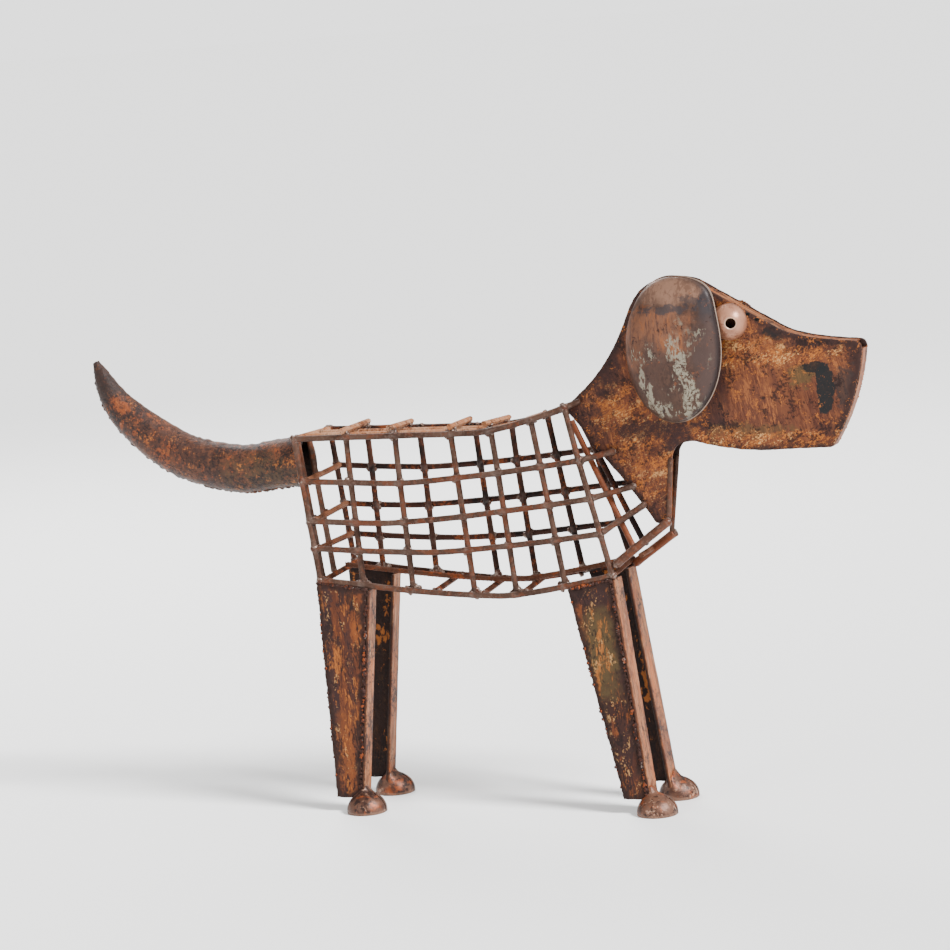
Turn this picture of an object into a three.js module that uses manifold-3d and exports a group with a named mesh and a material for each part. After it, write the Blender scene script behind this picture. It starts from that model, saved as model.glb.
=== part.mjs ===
// A standing dog welded together from scrap steel: rods, plates, flat bar and a rolled horn.
// Millimetres. X runs from tail to nose, Y to the dog's left, Z up from the floor.

import * as THREE from 'three';
import { mergeVertices } from 'three/addons/utils/BufferGeometryUtils.js';
import Module from 'manifold-3d';

const wasm = await Module();
wasm.setup();

// Stock that the pieces are cut from
const ROD = 6;
const RIBBED_BAR = 6.4;
const THICK_BAR = 8.6;
const PLATE = 3;
const FLAT_BAR = 3;
const GAP = 0.3;
const WELD_ROOM = 0.5;
const WELD_SINK = 0.9;
const ROD_SIDES = 8;

// The cage of rods that makes the body
const RUMP_X = -176.5;
const CHEST_X = 148;
const RUMP_HALF_WIDTH = 42;
const WAIST_HALF_WIDTH = 37.5;
const TOP_CHEST_HALF_WIDTH = 33;
const BACK_Z = 384.5;
const BACK_RISE = 26;
const BACK_RISE_START = 15;
const BACK_RISE_END = 120;
const BACK_RISE_POWER = 1.4;
const BACK_LEFT_LIFT = -2.5;
const SIDE_RAILS = [
  { rump: 341.5, lowest: 337, lowestX: -65, chest: 357, chestHalfWidth: 24, leftLift: 3.5 },
  { rump: 301, lowest: 296.7, lowestX: -85, chest: 318, chestHalfWidth: 27, leftLift: 4.5 },
  { rump: 273, lowest: 266, lowestX: -35, chest: 282, chestHalfWidth: 29.5, leftLift: 1 },
  { rump: 242, lowest: 220.5, lowestX: 30, chest: 239.5, chestHalfWidth: 32, leftLift: 4 },
];
const UPRIGHTS = [
  { top: -176.5, bottom: -161, leftShift: 4 },
  { top: -123, bottom: -117, leftShift: -6 },
  { top: -71, bottom: -64 },
  { top: -12, bottom: 1, leftShift: 2 },
  { top: 30, bottom: 44.5 },
  { top: 70.5, bottom: 95.5 },
  { top: 105, bottom: 146 },
];
const RUMP_UPRIGHTS = [
  { name: 'rump_upright_outer', y: -30 },
  { name: 'rump_upright_middle', y: -3 },
];
const RUMP_UPRIGHT_SETBACK = 2.5;
const BACK_RODS = [
  { x: -123, y: -46, farX: -129, farY: 41 },
  { x: -79, y: -28, farX: -77, farY: 29 },
  { x: -11, y: -36, farX: -16, farY: 36 },
  { x: 18, y: -16, farX: 30, farY: 24 },
  { x: 66, y: -19, farX: 71, farY: 19, sunk: true },
];
const SUNK_BAR_LIFT = 1;
const BELLY_RODS = [-39, 10, 53];
const BELLY_ROD_LIFT = 1;
const SPINE_TAPER = 0.55;
const SPINE_RODS = [
  { name: 'spine_bar_left', y: 13, to: 62 },
  { name: 'spine_bar_right_rear', y: -13, to: -77 },
  { name: 'spine_bar_right_middle', y: -13, from: -73, to: -24, thick: true },
  { name: 'spine_bar_right_front', y: -12, from: -19, to: 60 },
];

// Head and neck: two cut plates with flat bar between them
const HEAD_WIDTH = 26;
const CROWN_Z = 527.8;
const STRIP_INSET = 1.2;
const NECK_FRONT_INSET = 5;

// Braces from the front corners of the cage to the neck, and the rods inside the chest
const NECK_BRACES = [
  { rail: 0, x: 152, z: 360.3 },
  { rail: 1, x: 170, z: 325.3 },
  { rail: 2, x: 179, z: 307 },
];
const LOW_BRACES = {
  right: { rise: 8, x: 203, y: -17.6, z: 290 },
  left: { rise: -6, x: 199, y: 13, z: 273.5 },
};
const LOW_BRACE_STANDOFF = 4;
const CHEST_ROD_TOP = { x: 108.5, y: 12, z: 390.5 };
const CHEST_ROD_FOOT = { x: 165.5, y: 16.5, z: 263 };
const CHEST_CROSS = { x: 173, z: 256.5, rightY: -19.5, leftY: 15 };

// Ears and eyes
const EAR_HALF_WIDTH = 50.5;
const EAR_HALF_HEIGHT = 70.6;
const EAR_SHOULDER = 0.75;
const EAR_DEPTH = 19;
const EAR_WALL = 2.4;
const EAR_STANDOFF = 2;
const EAR_X = 222.5;
const EAR_BELOW_CROWN = 68.1;
const LEFT_EAR_BACK = 4;
const LEFT_EAR_DROP = 13;
const EAR_LEAN = THREE.MathUtils.degToRad(2);
const EAR_FLARE = THREE.MathUtils.degToRad(1.5);
const EAR_SWING = THREE.MathUtils.degToRad(9.5);
const EYE_RADIUS = 18;
const EYE_WALL = 2.5;
const EYE_HOLE = 10;
const EYE_X = 276.5;
const EYE_BELOW_CROWN = 44.8;
const EYE_TURN = THREE.MathUtils.degToRad(19);

// Tail: sheet rolled into a curved horn, open where it meets the rump
const TAIL_WALL = 2.5;
const TAIL_MOUTH_HEIGHT = 50;
const TAIL_WIDTH_SHARE = 0.8;
const TAIL_TIP_HEIGHT = 9;
const TAIL_HOLLOW_SHARE = 0.86;
const TAIL_BODY_TAPER = 0.13;
const TAIL_TIP_POWER = 5.5;
const TAIL_LINE = [
  [-180.5, 356.5],
  [-210, 354],
  [-257, 349.5],
  [-310, 361],
  [-345, 379.5],
  [-378, 406.5],
  [-397, 431],
  [-411.5, 464.5],
];

// Legs: a tapered plate on the outside, flat bar turned inwards along its front edge
const LEGS = [
  {
    name: 'hind',
    topRear: -165.5,
    topFront: -107,
    footRear: -162,
    footFront: -132,
    hipOut: 2,
    ankleOut: 2,
    bar: 20,
    footX: -130.5,
    footOut: 0.5,
    left: { footX: -132 },
  },
  {
    name: 'fore',
    topRear: 99,
    topFront: 148,
    footRear: 143.5,
    footFront: 171.5,
    hipOut: 2.1,
    ankleOut: 5.1,
    bar: 26,
    footX: 176.5,
    footOut: 2.1,
    left: { footRear: 148.5, footFront: 176.5, footX: 178 },
  },
];
const ANKLE_Z = 14.7;
const HIP_SIDES = { right: -1, left: 1 };

// Feet: solid domes with a toe split sawn into the front
const FOOT_RADIUS = 20.5;
const FOOT_HEIGHT = 20;
const FOOT_LIP = 2;
const TOE_SPLIT_WIDTH = 1.8;
const TOE_SPLIT_DEPTH = 2.6;
const TOE_SPLIT_START = 8;

// Finishes, one material for each piece
const FINISHES = {
  rod: { color: 0x6b5145, roughness: 0.72, metalness: 0.45 },
  ribbed: { color: 0x9a6a45, roughness: 0.82, metalness: 0.3 },
  plate: { color: 0x8a5230, roughness: 0.85, metalness: 0.25 },
  bar: { color: 0x9a6a50, roughness: 0.78, metalness: 0.35 },
  ear: { color: 0x6f5b4e, roughness: 0.6, metalness: 0.5 },
  eye: { color: 0x8a6654, roughness: 0.6, metalness: 0.5 },
  horn: { color: 0x4c3227, roughness: 0.8, metalness: 0.35 },
  foot: { color: 0x6e5549, roughness: 0.65, metalness: 0.45 },
};

const sculpture = new THREE.Group();

function addPiece(name, geometry, finish, parent = sculpture) {
  const material = new THREE.MeshStandardMaterial(FINISHES[finish]);
  const mesh = new THREE.Mesh(geometry, material);
  mesh.name = name;
  parent.add(mesh);
  return mesh;
}

// Joins and cuts

function toSolid(geometry) {
  const bare = geometry.clone();
  bare.deleteAttribute('normal');
  bare.deleteAttribute('uv');
  const merged = mergeVertices(bare, 1e-4);
  return new wasm.Manifold(new wasm.Mesh({
    numProp: 3,
    vertProperties: new Float32Array(merged.attributes.position.array),
    triVerts: new Uint32Array(merged.index.array),
  }));
}

function toGeometry(solid) {
  const mesh = solid.getMesh();
  const geometry = new THREE.BufferGeometry();
  geometry.setAttribute('position', new THREE.BufferAttribute(mesh.vertProperties, 3));
  geometry.setIndex(new THREE.BufferAttribute(mesh.triVerts, 1));
  geometry.computeVertexNormals();
  return geometry;
}

function fuse(geometries) {
  return toGeometry(geometries.map(toSolid).reduce((whole, next) => whole.add(next)));
}

function cutBy(geometry, cutters) {
  const rest = cutters.map(toSolid).reduce((left, cutter) => left.subtract(cutter), toSolid(geometry));
  const [largest] = rest.decompose().sort((a, b) => b.volume() - a.volume());
  return toGeometry(largest);
}

// Rods

function ring(diameter) {
  const points = [];
  for (let i = 0; i < ROD_SIDES; i += 1) {
    const angle = (2 * Math.PI * (i + 0.5)) / ROD_SIDES;
    points.push(new THREE.Vector2(Math.cos(angle), Math.sin(angle)).multiplyScalar(diameter / 2));
  }
  return new THREE.Shape(points);
}

function bentRod(points, diameter, steps) {
  const extrudePath = new THREE.CatmullRomCurve3(points);
  return new THREE.ExtrudeGeometry(ring(diameter), { steps, extrudePath, bevelEnabled: false });
}

function straightRod(from, to, diameter) {
  const extrudePath = new THREE.LineCurve3(from, to);
  return new THREE.ExtrudeGeometry(ring(diameter), { steps: 1, extrudePath, bevelEnabled: false });
}

// Rails along the sides of the cage. Rail 0 to 3 lie below the top rail.

const SAG_POWER = 1.4;
const CAGE_MIDDLE_X = (RUMP_X + CHEST_X) / 2;
const CAGE_HALF_LENGTH = (CHEST_X - RUMP_X) / 2;

function bow(rump, waist, chest, x) {
  const along = (x - CAGE_MIDDLE_X) / CAGE_HALF_LENGTH;
  return waist + ((chest - rump) / 2) * along + ((chest + rump) / 2 - waist) * along * along;
}

function sag(rail, x) {
  const [endX, endZ] = x < rail.lowestX ? [RUMP_X, rail.rump] : [CHEST_X, rail.chest];
  const share = (x - rail.lowestX) / (endX - rail.lowestX);
  return rail.lowest + (endZ - rail.lowest) * share ** SAG_POWER;
}

function rise(x) {
  return Math.max(0, (x - BACK_RISE_START) / (BACK_RISE_END - BACK_RISE_START));
}

const NECK_SIDE_Y = HEAD_WIDTH / 2 + ROD / 2 + GAP;

const topEndHalfWidth = bow(RUMP_HALF_WIDTH, WAIST_HALF_WIDTH, TOP_CHEST_HALF_WIDTH, BACK_RISE_END);
const NECK_TAPER = topEndHalfWidth - NECK_SIDE_Y;

const topRail = {
  leftLift: BACK_LEFT_LIFT,
  z: (x) => BACK_Z + BACK_RISE * rise(x) ** BACK_RISE_POWER,
  y: (x) => bow(RUMP_HALF_WIDTH, WAIST_HALF_WIDTH, TOP_CHEST_HALF_WIDTH, x) - NECK_TAPER * rise(x) ** 2,
};

const lowerRails = SIDE_RAILS.map((rail) => ({
  leftLift: rail.leftLift,
  z: (x) => sag(rail, x),
  y: (x) => bow(RUMP_HALF_WIDTH, WAIST_HALF_WIDTH, rail.chestHalfWidth, x),
}));

const rails = [topRail, ...lowerRails];
const bottomRail = rails[rails.length - 1];

// The left rails lie a little higher or lower than the right ones

function railHeight(rail, x, y) {
  const share = THREE.MathUtils.clamp((y / rail.y(x) + 1) / 2, 0, 1);
  return rail.z(x) + rail.leftLift * share;
}

function sideHeight(rail, x, side) {
  return railHeight(rail, x, side * rail.y(x));
}

// Place where an upright crosses a rail

function crossing(upright, rail, side) {
  const topZ = sideHeight(topRail, upright.top, side);
  const bottomZ = sideHeight(bottomRail, upright.bottom, side);
  let x = upright.top;
  for (let i = 0; i < 6; i += 1) {
    const share = (topZ - sideHeight(rail, x, side)) / (topZ - bottomZ);
    x = upright.top + (upright.bottom - upright.top) * share;
  }
  const shift = side > 0 ? upright.leftShift ?? 0 : 0;
  return { x: x + shift, y: rail.y(x), z: sideHeight(rail, x, side) };
}

const rearCorner = UPRIGHTS[0];
const frontCorner = UPRIGHTS[UPRIGHTS.length - 1];

function railPoints(rail, side, count) {
  const start = crossing(rearCorner, rail, side).x;
  const end = rail === topRail ? BACK_RISE_END : crossing(frontCorner, rail, side).x;
  const points = [];
  for (let i = 0; i <= count; i += 1) {
    const x = start + ((end - start) * i) / count;
    points.push(new THREE.Vector3(x, side * rail.y(x), sideHeight(rail, x, side)));
  }
  return points;
}

function uprightPoints(upright, side) {
  const corner = upright === rearCorner || upright === frontCorner;
  const inward = corner ? 0 : ROD - WELD_SINK;
  return rails.map((rail) => {
    const at = crossing(upright, rail, side);
    return new THREE.Vector3(at.x, side * (at.y - inward), at.z);
  });
}

function sideGrille(side) {
  const railRods = rails.map((rail) => bentRod(railPoints(rail, side, 8), ROD, 7));
  const uprightRods = UPRIGHTS.map((upright) => bentRod(uprightPoints(upright, side), ROD, 3));
  return fuse([...railRods, ...uprightRods]);
}

for (const [hand, side] of Object.entries(HIP_SIDES)) {
  addPiece(`side_grille_${hand}`, sideGrille(side), 'rod');
}

// Rump: uprights between the corners, ribbed bars across them on the inside

function rumpPoint(rail, y, forward = 0) {
  const right = crossing(rearCorner, rail, -1);
  const left = crossing(rearCorner, rail, 1);
  const share = (y + right.y) / (left.y + right.y);
  const z = right.z + (left.z - right.z) * share;
  return new THREE.Vector3(right.x + (left.x - right.x) * share + forward, y, z);
}

for (const upright of RUMP_UPRIGHTS) {
  const foot = rumpPoint(bottomRail, upright.y, -RUMP_UPRIGHT_SETBACK);
  const head = rumpPoint(topRail, upright.y, -RUMP_UPRIGHT_SETBACK);
  head.z -= RIBBED_BAR / 2 + GAP + WELD_ROOM;
  addPiece(upright.name, straightRod(foot, head, ROD), 'rod');
}

const rumpSpan = RUMP_HALF_WIDTH - ROD / 2 - 2 * GAP;
const rumpBarForward = ROD / 2 + RIBBED_BAR / 2 + 2 * GAP - RUMP_UPRIGHT_SETBACK;

rails.forEach((rail, index) => {
  const forward = index ? rumpBarForward : 0;
  const right = rumpPoint(rail, -rumpSpan, forward);
  const left = rumpPoint(rail, rumpSpan, forward);
  addPiece(`rump_bar_${index}`, straightRod(right, left, RIBBED_BAR), 'ribbed');
});

// Back: ribbed bars across the top rails, two more along the spine below them

const acrossLift = ROD / 2 + RIBBED_BAR / 2 + 2 * GAP;

BACK_RODS.forEach((bar, index) => {
  const lift = bar.sunk ? SUNK_BAR_LIFT : acrossLift;
  const near = new THREE.Vector3(bar.x, bar.y, railHeight(topRail, bar.x, bar.y) + lift);
  const far = new THREE.Vector3(bar.farX, bar.farY, railHeight(topRail, bar.farX, bar.farY) + lift);
  addPiece(`back_bar_${index + 1}`, straightRod(near, far, RIBBED_BAR), 'ribbed');
});

for (const bar of SPINE_RODS) {
  const diameter = bar.thick ? THICK_BAR : RIBBED_BAR;
  const lower = (diameter - ROD) / 2;
  const from = bar.from ?? rumpPoint(topRail, bar.y).x + RIBBED_BAR / 2 + 2 * GAP;
  const steps = bar.to > BACK_RISE_START ? 8 : 1;
  const points = [];
  for (let i = 0; i <= steps; i += 1) {
    const x = from + ((bar.to - from) * i) / steps;
    const y = bar.y * (1 - SPINE_TAPER * rise(x));
    points.push(new THREE.Vector3(x, y, railHeight(topRail, x, y) - lower));
  }
  addPiece(bar.name, bentRod(points, diameter, steps), 'ribbed');
}

// Belly: ribbed bars between the bottom rails, one more lying along them

BELLY_RODS.forEach((x, index) => {
  const reach = bottomRail.y(x) - ROD / 2 - GAP;
  const [right, left] = [-reach, reach].map((y) => (
    new THREE.Vector3(x, y, railHeight(bottomRail, x, y) + BELLY_ROD_LIFT)
  ));
  addPiece(`belly_bar_${index + 1}`, straightRod(right, left, RIBBED_BAR), 'ribbed');
});

function bellySpine() {
  const start = rumpPoint(bottomRail, 0, rumpBarForward + RIBBED_BAR).x;
  const end = crossing(frontCorner, bottomRail, 1).x - RIBBED_BAR;
  const points = [];
  for (let i = 0; i <= 6; i += 1) {
    const x = start + ((end - start) * i) / 6;
    const z = railHeight(bottomRail, x, 0) + BELLY_ROD_LIFT + RIBBED_BAR + 2 * GAP;
    points.push(new THREE.Vector3(x, 0, z));
  }
  return bentRod(points, RIBBED_BAR, 6);
}

addPiece('belly_spine_bar', bellySpine(), 'ribbed');

function chestFoot(side, inward) {
  const foot = crossing(frontCorner, bottomRail, side);
  return new THREE.Vector3(foot.x, side * (foot.y - inward), foot.z);
}

function chestBar(diameter, inward) {
  return straightRod(chestFoot(-1, inward), chestFoot(1, inward), diameter);
}

addPiece('chest_bar', chestBar(RIBBED_BAR, ROD / 2 + GAP), 'ribbed');

// Braces from each front corner to the neck, coped round the rods they start from

function braceCutters(side) {
  const corner = bentRod(uprightPoints(frontCorner, side), ROD + 2 * GAP, 3);
  const rail = bentRod(railPoints(bottomRail, side, 8), ROD + 2 * GAP, 7);
  return [corner, rail, chestBar(RIBBED_BAR + 2 * GAP, ROD / 2)];
}

for (const [hand, side] of Object.entries(HIP_SIDES)) {
  const cutters = braceCutters(side);
  const neckSide = HEAD_WIDTH / 2 + ROD / 2 + GAP;
  NECK_BRACES.forEach((brace, index) => {
    const corner = crossing(frontCorner, lowerRails[brace.rail], side);
    const start = new THREE.Vector3(corner.x, side * corner.y, corner.z);
    const end = new THREE.Vector3(brace.x, side * neckSide, brace.z);
    addPiece(`neck_brace_${index + 1}_${hand}`, cutBy(straightRod(start, end, ROD), cutters), 'rod');
  });
  const low = LOW_BRACES[hand];
  const start = chestFoot(side, 0);
  start.z += low.rise;
  const end = new THREE.Vector3(low.x, low.y, low.z);
  start.addScaledVector(end.clone().sub(start).normalize(), LOW_BRACE_STANDOFF);
  const rod = cutBy(straightRod(start, end, THICK_BAR), cutters);
  addPiece(`low_brace_${hand}`, rod, 'rod');
}

// Rods inside the chest, from under the neck down to a short bar between the lowest braces

for (const [hand, side] of Object.entries(HIP_SIDES)) {
  const top = new THREE.Vector3(CHEST_ROD_TOP.x, side * CHEST_ROD_TOP.y, CHEST_ROD_TOP.z);
  const foot = new THREE.Vector3(CHEST_ROD_FOOT.x, side * CHEST_ROD_FOOT.y, CHEST_ROD_FOOT.z);
  addPiece(`chest_rod_${hand}`, straightRod(top, foot, ROD), 'rod');
}

const chestCross = straightRod(
  new THREE.Vector3(CHEST_CROSS.x, CHEST_CROSS.rightY, CHEST_CROSS.z),
  new THREE.Vector3(CHEST_CROSS.x, CHEST_CROSS.leftY, CHEST_CROSS.z),
  RIBBED_BAR,
);
addPiece('chest_cross_bar', chestCross, 'ribbed');

// Outline of the head and neck, clockwise from the tip at the nape

const point = (x, z) => new THREE.Vector2(x, z);
const face = (x, drop) => new THREE.Vector2(x, CROWN_Z - drop);
const bend = (a, b, c) => new THREE.QuadraticBezierCurve(a, b, c);
const line = (a, b) => new THREE.LineCurve(a, b);

const napeTip = point(99, 403.5);
const napeEnd = face(171.8, 35.8);
const crown = face(216, 0);
const browStart = face(244, 5.3);
const browEnd = face(325, 53.2);
const noseTop = face(398, 67.3);
const noseCorner = face(405, 75.3);
const chin = face(370, 169.8);
const jawMiddle = face(300, 171.3);
const jawEnd = face(234, 160.8);
const throat = face(209.5, 177.3);
const neckToe = point(203, 284);
const leftNeckToe = point(199, 275);
const neckHeel = point(188, 287.5);
const chestEdge = point(128, 365.5);

const headEdges = {
  nape: bend(napeTip, face(148, 93.8), napeEnd),
  crown: bend(napeEnd, face(186, 0), crown),
  brow: bend(crown, face(233, 0), browStart),
  forehead: line(browStart, browEnd),
  bridge: bend(browEnd, face(345, 63.8), noseTop),
  nose: bend(noseTop, face(405, 68.3), noseCorner),
  muzzle: bend(noseCorner, face(398.5, 127.3), chin),
  jaw: line(chin, jawMiddle),
  cheek: bend(jawMiddle, face(262, 169.3), jawEnd),
  throat: bend(jawEnd, face(211, 159.3), throat),
  neckFront: line(throat, neckToe),
  neckFoot: line(neckToe, neckHeel),
  chest: bend(neckHeel, point(158, 333.5), chestEdge),
  shoulder: bend(chestEdge, point(117, 389), napeTip),
};

const EDGE_STEPS = 7;

function edgePoints(names) {
  const points = [];
  for (const name of names) {
    const edge = headEdges[name];
    const steps = edge.isLineCurve ? 1 : EDGE_STEPS;
    const stretch = edge.getPoints(steps);
    points.push(...(points.length ? stretch.slice(1) : stretch));
  }
  return points;
}

function uprightSheet(points, thickness) {
  const shape = new THREE.Shape(points);
  return new THREE.ExtrudeGeometry(shape, { depth: thickness, bevelEnabled: false });
}

// A sheet lies in the XZ plane and spans outerY - thickness to outerY

function standSheet(mesh, outerY) {
  mesh.rotation.x = Math.PI / 2;
  mesh.position.y = outerY;
  return mesh;
}

const headOutline = edgePoints(Object.keys(headEdges)).slice(0, -1);
standSheet(
  addPiece('head_plate_right', uprightSheet(headOutline, PLATE), 'plate'),
  -HEAD_WIDTH / 2 + PLATE,
);
const leftOutline = headOutline.map((at) => (at.equals(neckToe) ? leftNeckToe : at));
standSheet(addPiece('head_plate_left', uprightSheet(leftOutline, PLATE), 'plate'), HEAD_WIDTH / 2);

// Flat bar bent along the outline, between the plates

function inset(points, depth) {
  return points.map((at, i) => {
    const before = points[Math.max(0, i - 1)];
    const after = points[Math.min(points.length - 1, i + 1)];
    const along = after.clone().sub(before).normalize();
    return new THREE.Vector2(at.x + along.y * depth, at.y - along.x * depth);
  });
}

function band(points, outer, thickness) {
  return [...inset(points, outer), ...inset(points, outer + thickness).reverse()];
}

const stripWidth = HEAD_WIDTH - 2 * PLATE - 2 * GAP;

function edgeStrip(name, points, depth = STRIP_INSET) {
  const sheet = uprightSheet(band(points, depth, FLAT_BAR), stripWidth);
  return standSheet(addPiece(name, sheet, 'bar'), stripWidth / 2);
}

function shorten(points, startBy, endBy) {
  const path = new THREE.CatmullRomCurve3(points.map((p) => new THREE.Vector3(p.x, p.y, 0)));
  const length = path.getLength();
  const count = points.length - 1;
  return points.map((_, i) => {
    const along = (startBy + ((length - startBy - endBy) * i) / count) / length;
    const at = path.getPointAt(along);
    return new THREE.Vector2(at.x, at.y);
  });
}

const cornerClear = FLAT_BAR + STRIP_INSET + GAP;
edgeStrip('nape_strip', shorten(edgePoints(['nape']), 6, GAP));
edgeStrip('brow_strip', edgePoints(['crown', 'brow', 'forehead', 'bridge']));
edgeStrip('muzzle_strip', shorten(edgePoints(['muzzle']), GAP, cornerClear));
edgeStrip('jaw_strip', edgePoints(['jaw', 'cheek']));
const neckFrontEdge = shorten([throat, throat.clone().lerp(neckToe, 0.5), neckToe], cornerClear, 4);
edgeStrip('neck_front_strip', neckFrontEdge, NECK_FRONT_INSET);

// Ears: oval dishes pressed from sheet, hollow side towards the head

function dishProfile(grow) {
  const outer = [
    [1, 0],
    [0.985, 0.26],
    [0.93, 0.45],
    [0.8, 0.69],
    [0.58, 0.88],
    [0.3, 0.975],
    [0, 1],
  ];
  return outer.map(([r, h]) => new THREE.Vector2(r * (EAR_HALF_WIDTH + grow), h * (EAR_DEPTH + grow)));
}

// The oval is fuller at its upper front corner

function shapeEar(round, side) {
  const at = round.attributes.position;
  const frontTop = side > 0 ? 1 : -1;
  for (let i = 0; i < at.count; i += 1) {
    const high = (at.getZ(i) * frontTop) / EAR_HALF_WIDTH;
    const fuller = at.getX(i) > 0 && high > 0 ? 1 + EAR_SHOULDER * high ** 4 : 1;
    at.setX(i, at.getX(i) * fuller);
    at.setZ(i, (at.getZ(i) * EAR_HALF_HEIGHT) / EAR_HALF_WIDTH);
  }
  return round;
}

function earDish(side) {
  const outside = dishProfile(0);
  const inside = dishProfile(-EAR_WALL).reverse();
  inside[inside.length - 1].y = 0;
  return shapeEar(new THREE.LatheGeometry([...inside, ...outside], 20), side);
}

function earBulk(side) {
  const outside = dishProfile(GAP);
  return shapeEar(new THREE.LatheGeometry([new THREE.Vector2(0, 0), ...outside], 20), side);
}

function earPlacement(side) {
  const outward = side > 0 ? EAR_FLARE : Math.PI - EAR_FLARE;
  const flare = new THREE.Matrix4().makeRotationX(outward);
  const lean = new THREE.Matrix4().makeRotationY(EAR_LEAN);
  const swing = new THREE.Matrix4().makeRotationZ(side * EAR_SWING);
  const reach = Math.sin(EAR_SWING) * EAR_HALF_WIDTH + Math.sin(EAR_FLARE) * EAR_HALF_HEIGHT;
  const standoff = HEAD_WIDTH / 2 + EAR_STANDOFF + reach;
  const x = side > 0 ? EAR_X - LEFT_EAR_BACK : EAR_X;
  const z = CROWN_Z - EAR_BELOW_CROWN - (side > 0 ? LEFT_EAR_DROP : 0);
  const move = new THREE.Matrix4().makeTranslation(x, side * standoff, z);
  return move.multiply(swing).multiply(lean).multiply(flare);
}

for (const [hand, side] of Object.entries(HIP_SIDES)) {
  const ear = addPiece(`ear_${hand}`, earDish(side), 'ear');
  ear.applyMatrix4(earPlacement(side));
}

// Eyes: hollow half balls with a drilled pupil, cut back where the ear covers them

function eyeShell(side) {
  const arc = (radius, from, to) => {
    const points = [];
    for (let i = 0; i <= 5; i += 1) {
      const angle = from + ((to - from) * i) / 5;
      points.push(new THREE.Vector2(radius * Math.cos(angle), radius * Math.sin(angle)));
    }
    points.forEach((at) => {
      at.x = Math.max(0, at.x);
    });
    return points;
  };
  const outside = arc(EYE_RADIUS, 0, Math.PI / 2);
  const inside = arc(EYE_RADIUS - EYE_WALL, Math.PI / 2, 0);
  const shell = new THREE.LatheGeometry([...inside, ...outside], 16);
  const drill = new THREE.CylinderGeometry(EYE_HOLE / 2, EYE_HOLE / 2, 2 * EYE_RADIUS, 12);
  drill.translate(0, EYE_RADIUS, 0);
  drill.rotateZ(-EYE_TURN);
  if (side < 0) {
    shell.rotateX(Math.PI);
    drill.rotateX(Math.PI);
  }
  const seatY = side * (HEAD_WIDTH / 2 + GAP);
  const eyeZ = CROWN_Z - EYE_BELOW_CROWN;
  shell.translate(EYE_X, seatY, eyeZ);
  drill.translate(EYE_X, seatY, eyeZ);
  const ear = earBulk(side);
  ear.applyMatrix4(earPlacement(side));
  return cutBy(shell, [drill, ear]);
}

for (const [hand, side] of Object.entries(HIP_SIDES)) {
  addPiece(`eye_${hand}`, eyeShell(side), 'eye');
}

// Tail: the profile is turned as a straight horn and then bent along its centre line

function tailHorn() {
  const points = TAIL_LINE.map(([x, z]) => new THREE.Vector3(x, 0, z));
  const path = new THREE.CatmullRomCurve3(points);
  const length = path.getLength();
  const rings = 11;
  const radius = (share) => {
    const body = (TAIL_MOUTH_HEIGHT / 2) * (1 - TAIL_BODY_TAPER * share);
    const tip = TAIL_TIP_HEIGHT / 2;
    return tip + (body - tip) * (1 - share ** TAIL_TIP_POWER);
  };
  const outside = [];
  const inside = [];
  for (let i = 0; i <= rings; i += 1) {
    const share = i / rings;
    outside.push(new THREE.Vector2(radius(share), share * length));
    const deep = share * TAIL_HOLLOW_SHARE;
    inside.push(new THREE.Vector2(Math.max(1, radius(deep) - TAIL_WALL), deep * length));
  }
  outside.push(new THREE.Vector2(0, length));
  inside.push(new THREE.Vector2(0, TAIL_HOLLOW_SHARE * length));
  const horn = new THREE.LatheGeometry([...inside.reverse(), ...outside], 14);
  const at = horn.attributes.position;
  for (let i = 0; i < at.count; i += 1) {
    const share = THREE.MathUtils.clamp(at.getY(i) / length, 0, 1);
    const centre = path.getPointAt(share);
    const along = path.getTangentAt(share);
    const aside = at.getX(i) * TAIL_WIDTH_SHARE;
    const upward = at.getZ(i);
    at.setXYZ(i, centre.x + along.z * upward, centre.y + aside, centre.z - along.x * upward);
  }
  horn.computeVertexNormals();
  return horn;
}

addPiece('tail_horn', tailHorn(), 'horn');

// Legs hang below the bottom rail and stand on the feet

function frontEdge(leg, z, side) {
  const share = (z - ANKLE_Z) / (sideHeight(bottomRail, leg.topFront, side) - ANKLE_Z);
  return leg.footFront + (leg.topFront - leg.footFront) * share;
}

function plateOutline(leg, hipZ, side) {
  const points = [
    point(leg.footRear, ANKLE_Z),
    point(leg.footFront - FLAT_BAR - GAP, ANKLE_Z),
  ];
  const underRail = ROD / 2 + 2 * GAP;
  const frontZ = sideHeight(bottomRail, leg.topFront, side) - underRail;
  const front = frontEdge(leg, frontZ, side) - FLAT_BAR - GAP;
  for (let i = 0; i <= 4; i += 1) {
    const x = front + ((leg.topRear - front) * i) / 4;
    points.push(point(x, sideHeight(bottomRail, x, side) - underRail));
  }
  return points.map((at) => point(at.x, at.y - hipZ));
}

function barOutline(leg, hipZ, side) {
  const innerY = side * (leg.hipY - leg.bar);
  const railZ = sideHeight(bottomRail, leg.topFront, side);
  const acrossZ = railHeight(bottomRail, leg.topFront, innerY);
  const topZ = Math.min(railZ, acrossZ) - RIBBED_BAR / 2 - 3 * GAP;
  const topX = frontEdge(leg, topZ, side);
  const points = [
    point(leg.footFront - FLAT_BAR, ANKLE_Z),
    point(leg.footFront, ANKLE_Z),
    point(topX, topZ),
    point(topX - FLAT_BAR, topZ),
  ];
  return points.map((at) => point(at.x, at.y - hipZ));
}

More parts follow.
